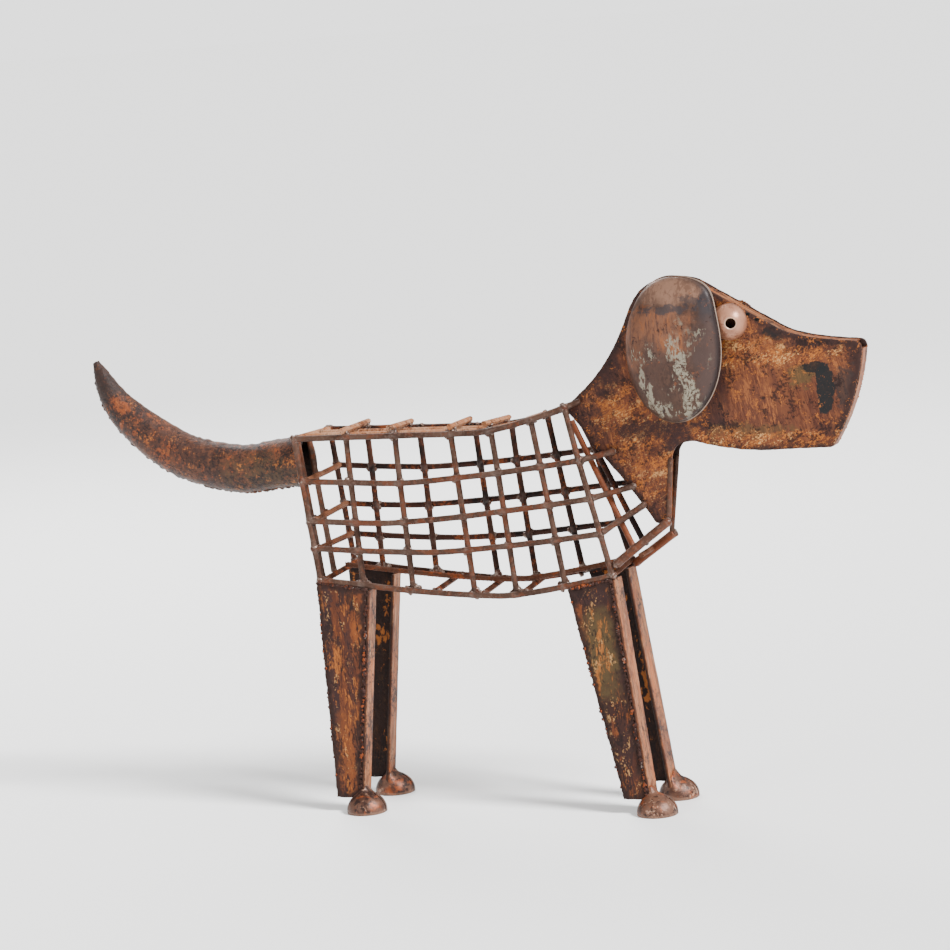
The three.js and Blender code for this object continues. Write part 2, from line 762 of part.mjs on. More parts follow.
function dome(grow) {
  const radius = FOOT_RADIUS + grow;
  const height = FOOT_HEIGHT + grow;
  const profile = [new THREE.Vector2(0, 0)];
  for (let i = 0; i <= 6; i += 1) {
    const angle = (Math.PI / 2) * (i / 6);
    const across = i === 6 ? 0 : radius * Math.cos(angle);
    profile.push(new THREE.Vector2(across, FOOT_LIP + (height - FOOT_LIP) * Math.sin(angle)));
  }
  profile.splice(1, 0, new THREE.Vector2(radius, 0));
  const half = new THREE.LatheGeometry(profile, 18);
  half.rotateX(Math.PI / 2);
  return half;
}

function footGeometry() {
  const saw = new THREE.BoxGeometry(FOOT_RADIUS, TOE_SPLIT_WIDTH, 2 * FOOT_HEIGHT);
  saw.translate(TOE_SPLIT_START + FOOT_RADIUS / 2, 0, 0);
  const slot = toSolid(saw).subtract(toSolid(dome(-TOE_SPLIT_DEPTH)));
  return toGeometry(toSolid(dome(0)).subtract(slot));
}

// The hip, ankle and foot keep their places beside the bottom rail above them

function besideRail(leg) {
  const railY = bottomRail.y((leg.topRear + leg.topFront) / 2);
  const [hipY, ankleY, footY] = [leg.hipOut, leg.ankleOut, leg.footOut].map((out) => railY + out);
  return { ...leg, hipY, ankleY, footY };
}

// A sheet of the leg, tilted outwards from the hip and coped over the dome of the foot

function legSheet(leg, side, outline, thickness, outerY) {
  const hipZ = bottomRail.z((leg.topRear + leg.topFront) / 2);
  const splay = Math.atan2(leg.ankleY - leg.hipY, hipZ);
  const sheet = uprightSheet(outline(leg, hipZ, side), thickness);
  sheet.rotateX(Math.PI / 2);
  sheet.translate(0, outerY, 0);
  sheet.rotateX(side * splay);
  sheet.translate(0, side * leg.hipY, hipZ);
  const foot = dome(GAP);
  foot.translate(leg.footX, side * leg.footY, 0);
  return cutBy(sheet, [foot]);
}

for (const pair of LEGS) {
  for (const [hand, side] of Object.entries(HIP_SIDES)) {
    const leg = besideRail({ ...pair, ...pair[hand] });
    const plate = legSheet(leg, side, plateOutline, PLATE, PLATE / 2);
    addPiece(`${leg.name}_leg_plate_${hand}`, plate, 'plate');
    const barY = side < 0 ? leg.bar - PLATE / 2 : PLATE / 2;
    addPiece(`${leg.name}_leg_bar_${hand}`, legSheet(leg, side, barOutline, leg.bar, barY), 'bar');
    const foot = addPiece(`${leg.name}_foot_${hand}`, footGeometry(), 'foot');
    foot.position.set(leg.footX, side * leg.footY, 0);
  }
}

// The origin lies on the floor, under the middle of the whole sculpture

sculpture.updateMatrixWorld(true);
const bounds = new THREE.Box3().setFromObject(sculpture, true);
const middle = bounds.getCenter(new THREE.Vector3());
sculpture.position.set(-middle.x, -middle.y, -bounds.min.z);

export default sculpture;
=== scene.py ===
# %% [markdown]
# # A dog welded from scrap steel
# The sculpture is a cage of round rod for the body, two cut plates with flat bar
# between them for the head, pressed dishes for ears, a rolled horn for a tail and
# tapered plates on domed feet for legs. The CAD solids give every place and size.
# Here each one gets the finer shape and the rust that make it look handled.

# %% Load the solids
import math
import bpy
import bmesh
import numpy as np
from mathutils import Matrix, Vector, noise
from mathutils.geometry import delaunay_2d_cdt


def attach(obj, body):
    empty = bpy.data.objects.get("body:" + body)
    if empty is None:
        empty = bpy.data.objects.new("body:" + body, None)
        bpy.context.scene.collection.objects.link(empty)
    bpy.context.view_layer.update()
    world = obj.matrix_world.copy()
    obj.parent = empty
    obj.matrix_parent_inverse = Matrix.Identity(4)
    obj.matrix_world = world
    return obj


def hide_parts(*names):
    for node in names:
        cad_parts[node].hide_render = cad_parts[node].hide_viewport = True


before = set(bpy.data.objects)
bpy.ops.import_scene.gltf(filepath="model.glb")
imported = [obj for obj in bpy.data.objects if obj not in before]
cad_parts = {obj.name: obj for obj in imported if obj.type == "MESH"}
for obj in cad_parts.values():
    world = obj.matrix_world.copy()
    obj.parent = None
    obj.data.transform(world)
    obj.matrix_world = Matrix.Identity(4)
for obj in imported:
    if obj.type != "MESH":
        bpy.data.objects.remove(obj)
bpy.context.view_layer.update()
MM = 0.001
SHIFT_X = 5.315
SIDES = {"right": -1, "left": 1}
print("solids:", len(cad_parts))

# %% [markdown]
# ## Camera, floor and light
# A long lens from a little above the back, turned towards the head, matches the
# photograph. A wide pale floor and large soft lights keep the shadows gentle, so
# that colour and relief can be judged on every side.

# %% Camera
CAMERA_AT = Vector((1.1921, -3.1534, 0.8264))
AZIMUTH, ELEVATION, ROLL = (math.radians(a) for a in (20.65, 8.26, -4.40))


def camera_axes(azimuth, elevation, roll):
    right = Vector((math.cos(azimuth), math.sin(azimuth), 0))
    back = Vector((math.sin(azimuth) * math.cos(elevation),
                   -math.cos(azimuth) * math.cos(elevation), math.sin(elevation)))
    up = back.cross(right)
    across = right * math.cos(roll) + up * math.sin(roll)
    upward = up * math.cos(roll) - right * math.sin(roll)
    return Matrix((across, upward, back)).transposed()


lens = bpy.data.cameras.new("photo_lens")
lens.lens = 128.9
lens.sensor_width = 36
lens.clip_end = 100
camera = bpy.data.objects.new("photo_camera", lens)
camera.matrix_world = Matrix.Translation(CAMERA_AT) @ camera_axes(AZIMUTH, ELEVATION, ROLL).to_4x4()
bpy.context.scene.collection.objects.link(camera)
bpy.context.scene.camera = camera
print("camera at", tuple(round(c, 3) for c in CAMERA_AT))

# %% Small helpers for nodes and colours
DEPTH, CONTRAST = 0.62, 1.25


def paint(red, green, blue):
    """A colour given in screen values, as the linear values that nodes take."""
    def linear(c):
        c /= 255
        return c / 12.92 if c <= 0.04045 else ((c + 0.055) / 1.055) ** 2.4
    return (*(DEPTH * linear(c) ** CONTRAST for c in (red, green, blue)), 1.0)


def add(tree, kind, props=None, **sockets):
    made = tree.nodes.new(kind)
    for key, value in (props or {}).items():
        setattr(made, key, value)
    for key, value in sockets.items():
        socket = made.inputs[key.replace("_", " ")]
        if isinstance(value, bpy.types.NodeSocket):
            tree.links.new(value, socket)
        else:
            socket.default_value = value
    return made


def maths(tree, operation, *values, clamp=False):
    made = tree.nodes.new("ShaderNodeMath")
    made.operation = operation
    made.use_clamp = clamp
    for socket, value in zip(made.inputs, values):
        if isinstance(value, bpy.types.NodeSocket):
            tree.links.new(value, socket)
        else:
            socket.default_value = value
    return made.outputs[0]


def vector_maths(tree, operation, *values):
    made = add(tree, "ShaderNodeVectorMath", {"operation": operation})
    for socket, value in zip(made.inputs, values):
        tree.links.new(value, socket)
    return made


def blend_colours(tree, factor, under, over, way="MIX"):
    made = tree.nodes.new("ShaderNodeMix")
    made.data_type = "RGBA"
    made.blend_type = way
    for index, value in ((0, factor), (6, under), (7, over)):
        if isinstance(value, bpy.types.NodeSocket):
            tree.links.new(value, made.inputs[index])
        else:
            made.inputs[index].default_value = value
    return made.outputs[2]


def soft_step(tree, value, low, high):
    made = add(tree, "ShaderNodeMapRange", {"interpolation_type": "SMOOTHSTEP"},
               Value=value, From_Min=low, From_Max=high)
    return made.outputs["Result"]


def new_group(name, inputs, outputs, kind="ShaderNodeTree"):
    tree = bpy.data.node_groups.new(name, kind)
    for title, socket_type, value in inputs:
        socket = tree.interface.new_socket(title, in_out="INPUT", socket_type="NodeSocket" + socket_type)
        if value is not None:
            socket.default_value = value
    for title, socket_type in outputs:
        tree.interface.new_socket(title, in_out="OUTPUT", socket_type="NodeSocket" + socket_type)
    return tree, tree.nodes.new("NodeGroupInput").outputs, tree.nodes.new("NodeGroupOutput").inputs


print("dark rust is", [round(c, 3) for c in paint(62, 42, 38)])

# %% Floor and lights
FLOOR_RADIUS = 60


def floor_disc(radius, sides=96):
    mesh = bpy.data.meshes.new("studio_floor")
    ring = [(radius * math.cos(2 * math.pi * i / sides), radius * math.sin(2 * math.pi * i / sides), 0)
            for i in range(sides)]
    mesh.from_pydata(ring, [], [list(range(sides))])
    return mesh


floor = bpy.data.objects.new("studio_floor", floor_disc(FLOOR_RADIUS))
bpy.context.scene.collection.objects.link(floor)
floor_finish = bpy.data.materials.new("pale_floor")
floor_finish.use_nodes = True
floor_shader = floor_finish.node_tree.nodes["Principled BSDF"]
floor_shader.inputs["Roughness"].default_value = 0.9
floor_shader.inputs["Specular IOR Level"].default_value = 0.1
floor_grain = add(floor_finish.node_tree, "ShaderNodeTexNoise", Scale=3.0, Detail=3.0)
floor_tone = blend_colours(floor_finish.node_tree, floor_grain.outputs[0],
                           (0.955, 0.955, 0.95, 1.0), (0.975, 0.975, 0.97, 1.0))
floor_finish.node_tree.links.new(floor_tone, floor_shader.inputs["Base Color"])
floor.data.materials.append(floor_finish)

world = bpy.data.worlds.new("studio")
bpy.context.scene.world = world
world.use_nodes = True
world_glow = world.node_tree.nodes["Background"]
world_glow.inputs["Color"].default_value = (1.0, 1.0, 1.0, 1.0)
seen_directly = add(world.node_tree, "ShaderNodeLightPath").outputs["Is Camera Ray"]
world.node_tree.links.new(maths(world.node_tree, "MULTIPLY_ADD", seen_directly, 1.6, 0.55),
                          world_glow.inputs["Strength"])


def soft_light(name, where, power, size):
    data = bpy.data.lights.new(name, "AREA")
    data.shape = "DISK"
    data.energy = power
    data.size = size
    lamp = bpy.data.objects.new(name, data)
    lamp.location = where
    lamp.rotation_euler = (Vector((0, 0, 0.25)) - Vector(where)).to_track_quat("-Z", "Y").to_euler()
    bpy.context.scene.collection.objects.link(lamp)
    return lamp


key = bpy.data.lights.new("key_from_head_side", "SUN")
key.energy, key.angle = 8.0, math.radians(16)
sun = bpy.data.objects.new("key_from_head_side", key)
sun.rotation_euler = Vector((2.5, -0.8, 2.4)).to_track_quat("Z", "Y").to_euler()
bpy.context.scene.collection.objects.link(sun)
soft_light("fill_behind_camera", (-1.6, -2.6, 1.3), 25, 1.8)
soft_light("back_above_tail", (-1.4, 1.8, 2.0), 60, 1.5)
print("lights:", len(bpy.data.lights))

# %% [markdown]
# ## Rust as node groups
# Rust on handled steel is never one colour. Broad areas drift between brown and
# orange, ragged patches of scale lie on top, fine ochre flecks catch the light,
# and a few marks sit in one place only. Each of these effects is a node group
# with named inputs, so that every finish mixes the same rust its own way.

# %% Patches, flecks, marks and relief


def patches_group():
    tree, given, out = new_group("ragged_patches", [
        ("Vector", "Vector", None), ("Scale", "Float", 20.0), ("Stretch", "Vector", (1, 1, 1)),
        ("Cover", "Float", 0.5), ("Softness", "Float", 0.06), ("Warp", "Float", 0.5),
        ("Clump", "Float", 0.0),
    ], [("Mask", "Float"), ("Drift", "Float")])
    stretched = vector_maths(tree, "MULTIPLY", given["Vector"], given["Stretch"])
    made = add(tree, "ShaderNodeTexNoise", Vector=stretched.outputs[0], Scale=given["Scale"],
               Detail=9.0, Roughness=0.62, Distortion=given["Warp"])
    broad = add(tree, "ShaderNodeTexNoise", Vector=stretched.outputs[0],
                Scale=maths(tree, "MULTIPLY", given["Scale"], 0.16), Detail=3.0)
    gather = maths(tree, "MULTIPLY", maths(tree, "SUBTRACT", broad.outputs[0], 0.5), given["Clump"])
    value = maths(tree, "ADD", made.outputs[0], gather)
    edge = maths(tree, "SUBTRACT", 1.0, given["Cover"])
    edge = maths(tree, "MULTIPLY_ADD", edge, 0.5, 0.25)
    mask = soft_step(tree, value, maths(tree, "SUBTRACT", edge, given["Softness"]),
                     maths(tree, "ADD", edge, given["Softness"]))
    tree.links.new(mask, out["Mask"])
    tree.links.new(value, out["Drift"])
    return tree


def mark_group():
    tree, given, out = new_group("one_mark", [
        ("Vector", "Vector", None), ("Centre", "Vector", (0, 0, 0)), ("Size", "Vector", (1, 1, 1)),
        ("Ragged", "Float", 0.5), ("Grain", "Float", 60.0), ("Softness", "Float", 0.12),
    ], [("Mask", "Float")])
    away = vector_maths(tree, "SUBTRACT", given["Vector"], given["Centre"])
    scaled = vector_maths(tree, "DIVIDE", away.outputs[0], given["Size"])
    length = vector_maths(tree, "LENGTH", scaled.outputs[0])
    grain = add(tree, "ShaderNodeTexNoise", Vector=given["Vector"], Scale=given["Grain"],
                Detail=8.0, Roughness=0.65)
    shift = maths(tree, "MULTIPLY", maths(tree, "SUBTRACT", grain.outputs[0], 0.5), given["Ragged"])
    shift = maths(tree, "MULTIPLY", shift, 4.0)
    reach = maths(tree, "ADD", length.outputs["Value"], shift)
    mask = soft_step(tree, reach, maths(tree, "ADD", 1.0, given["Softness"]),
                     maths(tree, "SUBTRACT", 1.0, given["Softness"]))
    tree.links.new(mask, out["Mask"])
    return tree


def relief_group():
    tree, given, out = new_group("scale_relief", [
        ("Vector", "Vector", None), ("Coarse", "Float", 60.0), ("Fine", "Float", 420.0),
        ("Fine share", "Float", 0.4),
    ], [("Height", "Float")])
    coarse = add(tree, "ShaderNodeTexNoise", Vector=given["Vector"], Scale=given["Coarse"],
                 Detail=6.0, Roughness=0.6)
    fine = add(tree, "ShaderNodeTexNoise", Vector=given["Vector"], Scale=given["Fine"],
               Detail=4.0, Roughness=0.6)
    height = maths(tree, "MULTIPLY_ADD", fine.outputs[0], given["Fine share"], coarse.outputs[0])
    tree.links.new(height, out["Height"])
    return tree


PATCHES, MARK, RELIEF = patches_group(), mark_group(), relief_group()
print("groups:", PATCHES.name, MARK.name, RELIEF.name)

# %% One recipe for a rusty finish


class Finish:
    """A steel finish that is painted from the base up, one layer at a time."""

    def __init__(self, name, colour):
        self.material = bpy.data.materials.new(name)
        self.material.use_nodes = True
        self.tree = self.material.node_tree
        self.shader = self.tree.nodes["Principled BSDF"]
        self.vector = add(self.tree, "ShaderNodeTexCoord").outputs["Object"]
        self.colour = colour
        self.height = None

    def patches(self, cover, scale, softness=0.05, stretch=(1, 1, 1), warp=0.5, clump=0.0, tilt=0,
                vector=None):
        """Ragged patches. clump gathers them, and tilt leans them in the plane of a plate, in degrees."""
        vector = self.vector if vector is None else vector
        if tilt:
            vector = add(self.tree, "ShaderNodeVectorRotate", {"rotation_type": "Y_AXIS"}, Vector=vector,
                         Angle=math.radians(tilt)).outputs[0]
        made = add(self.tree, "ShaderNodeGroup", {"node_tree": PATCHES}, Vector=vector, Scale=scale,
                   Stretch=stretch, Cover=cover, Softness=softness, Warp=warp, Clump=clump)
        return made.outputs["Mask"]

    def strip_lines(self):
        """Running length and width of a flat bar, which its points carry as attributes in metres."""
        run, across = self.attribute("run"), self.attribute("across")
        return add(self.tree, "ShaderNodeCombineXYZ", X=run, Y=across).outputs[0]

    def mark(self, centre, size, ragged=0.5, grain=60.0, softness=0.12):
        place = tuple((c + s) * MM for c, s in zip(centre, (SHIFT_X, 0, 0)))
        made = add(self.tree, "ShaderNodeGroup", {"node_tree": MARK}, Vector=self.vector, Centre=place,
                   Size=tuple(s * MM for s in size), Ragged=ragged, Grain=grain, Softness=softness)
        return made.outputs["Mask"]

    def attribute(self, name):
        return add(self.tree, "ShaderNodeAttribute", {"attribute_name": name}).outputs["Fac"]

    def layer(self, mask, colour, strength=1.0):
        factor = maths(self.tree, "MULTIPLY", mask, strength, clamp=True)
        self.colour = blend_colours(self.tree, factor, self.colour, colour)
        return mask

    def coat(self, colour, strength, *cover, **how):
        """One layer of ragged patches."""
        self.layer(self.patches(*cover, **how), colour, strength)

    def spot(self, colour, strength, *place):
        """One layer in a single mark."""
        self.layer(self.mark(*place), colour, strength)

    def both(self, one, other):
        """The overlap of two masks."""
        return maths(self.tree, "MULTIPLY", one, other)

    def ragged_note(self, note, grain, softness, reach, low, high):
        """A value noted on the points, made a crisp mask whose edge wanders with noise."""
        noise = self.patches(0.5, grain, softness)
        wandering = maths(self.tree, "MULTIPLY_ADD", noise, reach, self.attribute(note))
        return soft_step(self.tree, wandering, low, high)

    def shine(self, roughness, mask=None, bright=0.4):
        if mask is None:
            self.shader.inputs["Roughness"].default_value = roughness
            return
        span = maths(self.tree, "MULTIPLY_ADD", mask, bright - roughness, roughness)
        self.tree.links.new(span, self.shader.inputs["Roughness"])

    def finish(self, metallic=0.15, coarse=60.0, fine=420.0, fine_share=0.4, strength=0.5, depth=0.0006,
               gloss=0.18, extra=None):
        self.tree.links.new(self.colour, self.shader.inputs["Base Color"])
        self.shader.inputs["Metallic"].default_value = metallic
        self.shader.inputs["Specular IOR Level"].default_value = gloss
        relief = add(self.tree, "ShaderNodeGroup", {"node_tree": RELIEF}, Vector=self.vector,
                     Coarse=coarse, Fine=fine, Fine_share=fine_share)
        height = relief.outputs["Height"]
        if extra is not None:
            height = maths(self.tree, "ADD", height, extra)
        bump = add(self.tree, "ShaderNodeBump", Strength=strength, Distance=depth, Height=height)
        self.tree.links.new(bump.outputs[0], self.shader.inputs["Normal"])
        return self.material


print("finish recipe ready")

# %% [markdown]
# ## The finishes
# Rods are worn to a smooth taupe outside. The flanks that face into the cage are darker and redder, partly
# rust and partly painted shade of the cage's inside.
# Ribbed bars are the lightest, and darker towards the bottom of the cage. Each finish starts from
# one base colour and takes its layers in the order in which rust grows: broad
# drifts first, then patches of scale, then flecks of a millimetre or two.

# %% Colours
TAUPE, DEEP_BROWN = paint(118, 92, 79), paint(58, 42, 41)
RED_BROWN, ORANGE = paint(120, 70, 52), paint(190, 108, 58)
OCHRE, PALE_OCHRE = paint(214, 140, 74), paint(240, 190, 132)
CHARCOAL, OLIVE = paint(50, 52, 54), paint(122, 104, 72)
PALE_PAINT, SILVER = paint(182, 174, 156), paint(190, 176, 168)
BLUE_GREY, PURPLE_BROWN = paint(74, 74, 80), paint(84, 60, 58)
MID_BROWN = paint(138, 86, 60)
print("colours ready")

# %% Rods, welds and ribbed bars


def rod_finish():
    rod = Finish("handled_rod", TAUPE)
    rod.coat(paint(94, 69, 57), 1.0, 0.5, 30, 0.12)
    rod.coat(MID_BROWN, 0.75, 0.40, 120, 0.07, clump=0.6)
    rod.coat(paint(146, 122, 110), 0.45, 0.36, 320, 0.06)
    # The flanks that face into the cage are darker and redder, partly rust and partly painted shade of the
    # cage's inside; the orange stains and black patches lie only there.
    inside = rod.ragged_note("inside", 60, 0.12, 0.35, 0.45, 1.0)
    rod.layer(inside, paint(86, 52, 38), 0.92)
    stains = rod.both(rod.patches(0.36, 220, 0.07, clump=0.8), inside)
    rod.layer(stains, paint(170, 100, 58), 0.7)
    black = rod.both(rod.patches(0.40, 60, 0.06, clump=0.6), inside)
    rod.layer(black, paint(40, 30, 29), 0.85)
    rod.layer(rod.attribute("warm"), ORANGE, 0.35)
    weld = rod.attribute("weld")
    rod.layer(rod.both(weld, rod.patches(0.5, 200, 0.1)), SILVER, 0.22)
    rod.shine(0.60, weld, 0.45)
    return rod.finish(metallic=0.25, coarse=240, fine=1100, strength=0.5, depth=0.0005)


def weld_finish():
    weld = Finish("weld_metal", paint(118, 96, 86))
    weld.coat(RED_BROWN, 0.7, 0.5, 140, 0.1)
    bright = weld.patches(0.46, 260, 0.06)
    weld.layer(bright, paint(182, 162, 150), 0.75)
    weld.shine(0.55, bright, 0.28)
    return weld.finish(metallic=0.4, coarse=300, fine=1200, strength=0.5, depth=0.0005)


def crust_finish():
    crust = Finish("dark_weld_crust", paint(96, 68, 60))
    crust.coat(paint(70, 50, 46), 0.8, 0.5, 150, 0.1)
    crust.coat(ORANGE, 0.8, 0.36, 260, 0.05, clump=0.5)
    crust.coat(SILVER, 0.7, 0.16, 340, 0.05, clump=0.5)
    crust.shine(0.6)
    return crust.finish(metallic=0.2, coarse=300, fine=1200, strength=0.6, depth=0.0006)


def ribbed_finish():
    bar = Finish("rain_washed_ribbed_bar", paint(214, 172, 142))
    bar.coat(paint(196, 132, 88), 0.75, 0.5, 55, 0.1)
    bar.coat(MID_BROWN, 0.8, 0.30, 150, 0.06, clump=0.7)
    bar.coat(DEEP_BROWN, 0.75, 0.20, 260, 0.05, clump=0.6)
    # Darker towards the bottom of the cage, in two steps by height, with orange patches in the lowest band.
    height = add(bar.tree, "ShaderNodeSeparateXYZ", Vector=bar.vector).outputs["Z"]
    lower_down = soft_step(bar.tree, height, 0.375, 0.345)
    bar.layer(lower_down, paint(140, 94, 72), 0.72)
    low = soft_step(bar.tree, height, 0.290, 0.250)
    bar.layer(low, paint(104, 66, 50), 0.7)
    bar.layer(bar.both(low, bar.patches(0.34, 120, 0.06, clump=0.6)), ORANGE, 0.7)
    bar.shine(0.7)
    return bar.finish(metallic=0.1, coarse=260, fine=1000, strength=0.6, depth=0.0006)


print("rod, weld and ribbed finishes ready")

# %% [markdown]
# ## Rust on the head plates
# The plates are orange rust, smeared by hand, with dark borders where the heat of
# the torch reached and one charcoal patch near the nose. Purple-brown spots beside and under the ear are
# painted shadow of the ear, and the inner faces of the plates are painted dark as shade. Smears lean a
# little, so the noise is turned about Y and stretched. Ochre flecks sit in bands along the
# bridge and the jaw, which marks with ragged outlines place.

# %% Head plates


def head_finish():
    plate = Finish("head_plate_rust", paint(142, 96, 74))
    plate.coat(paint(162, 106, 72), 0.8, 0.50, 13, 0.20)
    plate.coat(paint(116, 76, 64), 0.75, 0.46, 60, 0.10, (1.5, 1, 0.45), 0.8, tilt=14)
    plate.coat(paint(108, 66, 54), 0.7, 0.42, 270, 0.06, (1.7, 1, 0.26), 0.8, clump=0.5, tilt=16)
    plate.coat(paint(202, 136, 88), 0.65, 0.34, 290, 0.06, (1.7, 1, 0.28), 0.8, clump=0.5, tilt=10)
    # Purple-brown spots: heat tint along the edges, and painted shadow of the ear beside and under it (the
    # spots at x 204, 252, 256, 258 and 262).
    for centre, size, ragged, strength in (
        ((123, -13, 387), (26, 30, 20), 0.5, 0.75), ((152, -13, 452), (12, 30, 40), 0.4, 0.85),
        ((204, -13, 381), (52, 30, 13), 0.6, 0.95), ((222, -13, 361), (34, 30, 12), 0.6, 0.85),
        ((330, -13, 473), (26, 30, 8), 0.7, 0.85), ((357, -13, 456), (34, 30, 8), 0.9, 0.8),
        ((396, -13, 440), (7, 30, 22), 0.8, 0.8), ((378, -13, 372), (20, 30, 16), 0.8, 0.55),
        ((258, -13, 458), (12, 30, 24), 0.6, 0.7), ((196, -13, 305), (14, 30, 36), 0.5, 0.6),
        ((256, -13, 492), (14, 30, 14), 0.5, 0.85), ((252, -13, 412), (16, 30, 48), 0.6, 0.75),
        ((262, -13, 440), (14, 30, 14), 0.6, 0.5),
    ):
        plate.spot(PURPLE_BROWN, strength, centre, size, ragged, 80, 0.35)
    plate.spot(paint(62, 56, 56), 0.9, (319, -13, 469), (14, 30, 6), 0.7, 110, 0.15)
    plate.spot(paint(84, 72, 70), 0.85, (388, -13, 416), (13, 30, 20), 0.8, 120, 0.3)
    plate.spot(OLIVE, 0.75, (343, -13, 430), (13, 30, 10), 0.9, 110, 0.3)
    plate.spot(OLIVE, 0.5, (292, -13, 376), (40, 30, 7), 0.9, 110, 0.3)
    plate.layer(plate.ragged_note("rim", 90, 0.2, 0.35, 0.40, 0.80), paint(80, 58, 54), 0.9)
    flecks = plate.patches(0.40, 430, 0.05, (1.2, 1, 0.5), 1.0, clump=0.6, tilt=-60)
    sparks = plate.patches(0.28, 620, 0.05, (1, 1, 0.6), clump=0.6, tilt=-60)
    for centre, size, ragged, strength in (
        ((326, -13, 447), (60, 30, 8), 0.9, 0.85), ((296, -13, 458), (28, 30, 10), 0.9, 0.5),
        ((312, -13, 367), (84, 30, 7), 0.9, 0.9), ((275, -13, 455), (16, 30, 16), 0.8, 0.7),
        ((247, -13, 374), (30, 30, 8), 0.8, 0.8), ((183, -13, 395), (44, 30, 34), 0.8, 0.6),
        ((190, -13, 345), (24, 30, 30), 0.8, 0.6), ((270, -13, 500), (24, 30, 6), 0.8, 0.6),
    ):
        spot = plate.mark(centre, size, ragged, 100, 0.4)
        plate.layer(spot, paint(170, 104, 62), 0.30 * strength)
        plate.layer(plate.both(spot, flecks), OCHRE, strength)
        plate.layer(plate.both(spot, sparks), PALE_OCHRE, strength)
    plate.coat(OCHRE, 0.8, 0.16, 560, 0.05, clump=0.9)
    plate.coat(DEEP_BROWN, 0.8, 0.30, 400, 0.05, clump=0.9)
    # Purple-brown again: the spot at x 198 is painted shadow under the ear, the other two are heat tint.
    for centre, size in (((198, -13, 379), (38, 30, 9)), ((222, -13, 364), (22, 30, 7)),
                         ((140, -13, 440), (8, 30, 26))):
        plate.spot(PURPLE_BROWN, 0.75, centre, size, 0.8, 80, 0.35)
    charcoal = plate.mark((367, -13, 416), (9, 30, 25), 0.35, 110, 0.05)
    corner = plate.mark((358, -13, 436), (12, 30, 6), 0.4, 150, 0.05)
    plate.layer(charcoal, CHARCOAL, 0.97)
    plate.layer(corner, CHARCOAL, 0.92)
    chips = plate.both(charcoal, plate.patches(0.20, 420, 0.04, clump=0.3))
    plate.layer(chips, OCHRE, 0.9)
    for centre in ((294.5, -13, 489.5), (304, -13, 484)):
        plate.spot(paint(10, 9, 9), 1.0, centre, (2.6, 30, 1.5), 0.2, 300, 0.2)
    # The inner faces of the plates, inside the head, are painted dark as shade.
    plate.layer(plate.attribute("inside"), paint(66, 44, 38), 0.88)
    plate.shine(0.66, charcoal, 0.42)
    return plate.finish(metallic=0.08, coarse=190, fine=800, strength=0.75, depth=0.0010)


print("head finish ready")

# %% [markdown]
# ## Rust on the legs and flat bars
# The leg plates rusted in bands that flow downwards, like bark, and their inner
# faces are painted dark as shade, as are the back faces of the flat bars inside the head.
# The flat bars were rolled, so fine lines run along them. Each
# bar carries its own running length as an attribute, because a pattern on object
# coordinates couldn't follow a bar round the muzzle.

# %% Leg plates and flat bars


def leg_finish():
    plate = Finish("leg_plate_rust", paint(134, 84, 58))
    plate.coat(paint(178, 110, 60), 0.7, 0.40, 26, 0.10, (1.5, 1, 0.4))
    plate.coat(paint(110, 68, 52), 0.8, 0.46, 70, 0.05, (1.5, 1, 0.30), 1.0)
    plate.coat(paint(74, 52, 50), 0.9, 0.46, 50, 0.02, (1.4, 1, 0.30), 1.6, clump=0.5)
    plate.spot(OLIVE, 0.75, (130, -38, 163), (20, 30, 44), 0.5, 60, 0.4)
    plate.spot(PURPLE_BROWN, 0.85, (119, -38, 222), (30, 30, 12), 0.6, 60, 0.3)
    plate.spot(PURPLE_BROWN, 0.9, (-157, -43, 130), (7, 30, 90), 0.8, 50, 0.15)
    plate.spot(PURPLE_BROWN, 0.6, (-135, -43, 120), (4, 30, 90), 0.9, 60, 0.2)
    plate.spot(PURPLE_BROWN, 0.45, (160, -38, 60), (16, 30, 34), 0.8, 60, 0.3)
    plate.spot(paint(176, 112, 66), 0.3, (-148, -43, 70), (10, 30, 30), 0.8, 60, 0.3)
    streaks = plate.patches(0.30, 360, 0.05, (1.2, 1, 0.30), 1.0, clump=0.7)
    plate.layer(streaks, OCHRE, 0.7)
    plate.coat(PALE_OCHRE, 0.6, 0.12, 560, 0.05, (1, 1, 0.6), clump=0.9)
    plate.coat(DEEP_BROWN, 0.8, 0.32, 380, 0.05, (1, 1, 0.45), clump=0.8)
    plate.layer(plate.ragged_note("rim", 100, 0.2, 0.35, 0.45, 0.85), paint(72, 51, 46), 0.9)
    # The inner faces of the leg plates are painted dark as shade, with ochre specks on them.
    inside = plate.attribute("inside")
    plate.layer(inside, paint(56, 38, 33), 0.92)
    specks = plate.both(inside, plate.patches(0.22, 170, 0.04, (1, 1, 0.6), clump=0.9))
    plate.layer(specks, OCHRE, 0.75)
    plate.shine(0.62)
    return plate.finish(metallic=0.1, coarse=200, fine=900, strength=0.85, depth=0.0012)


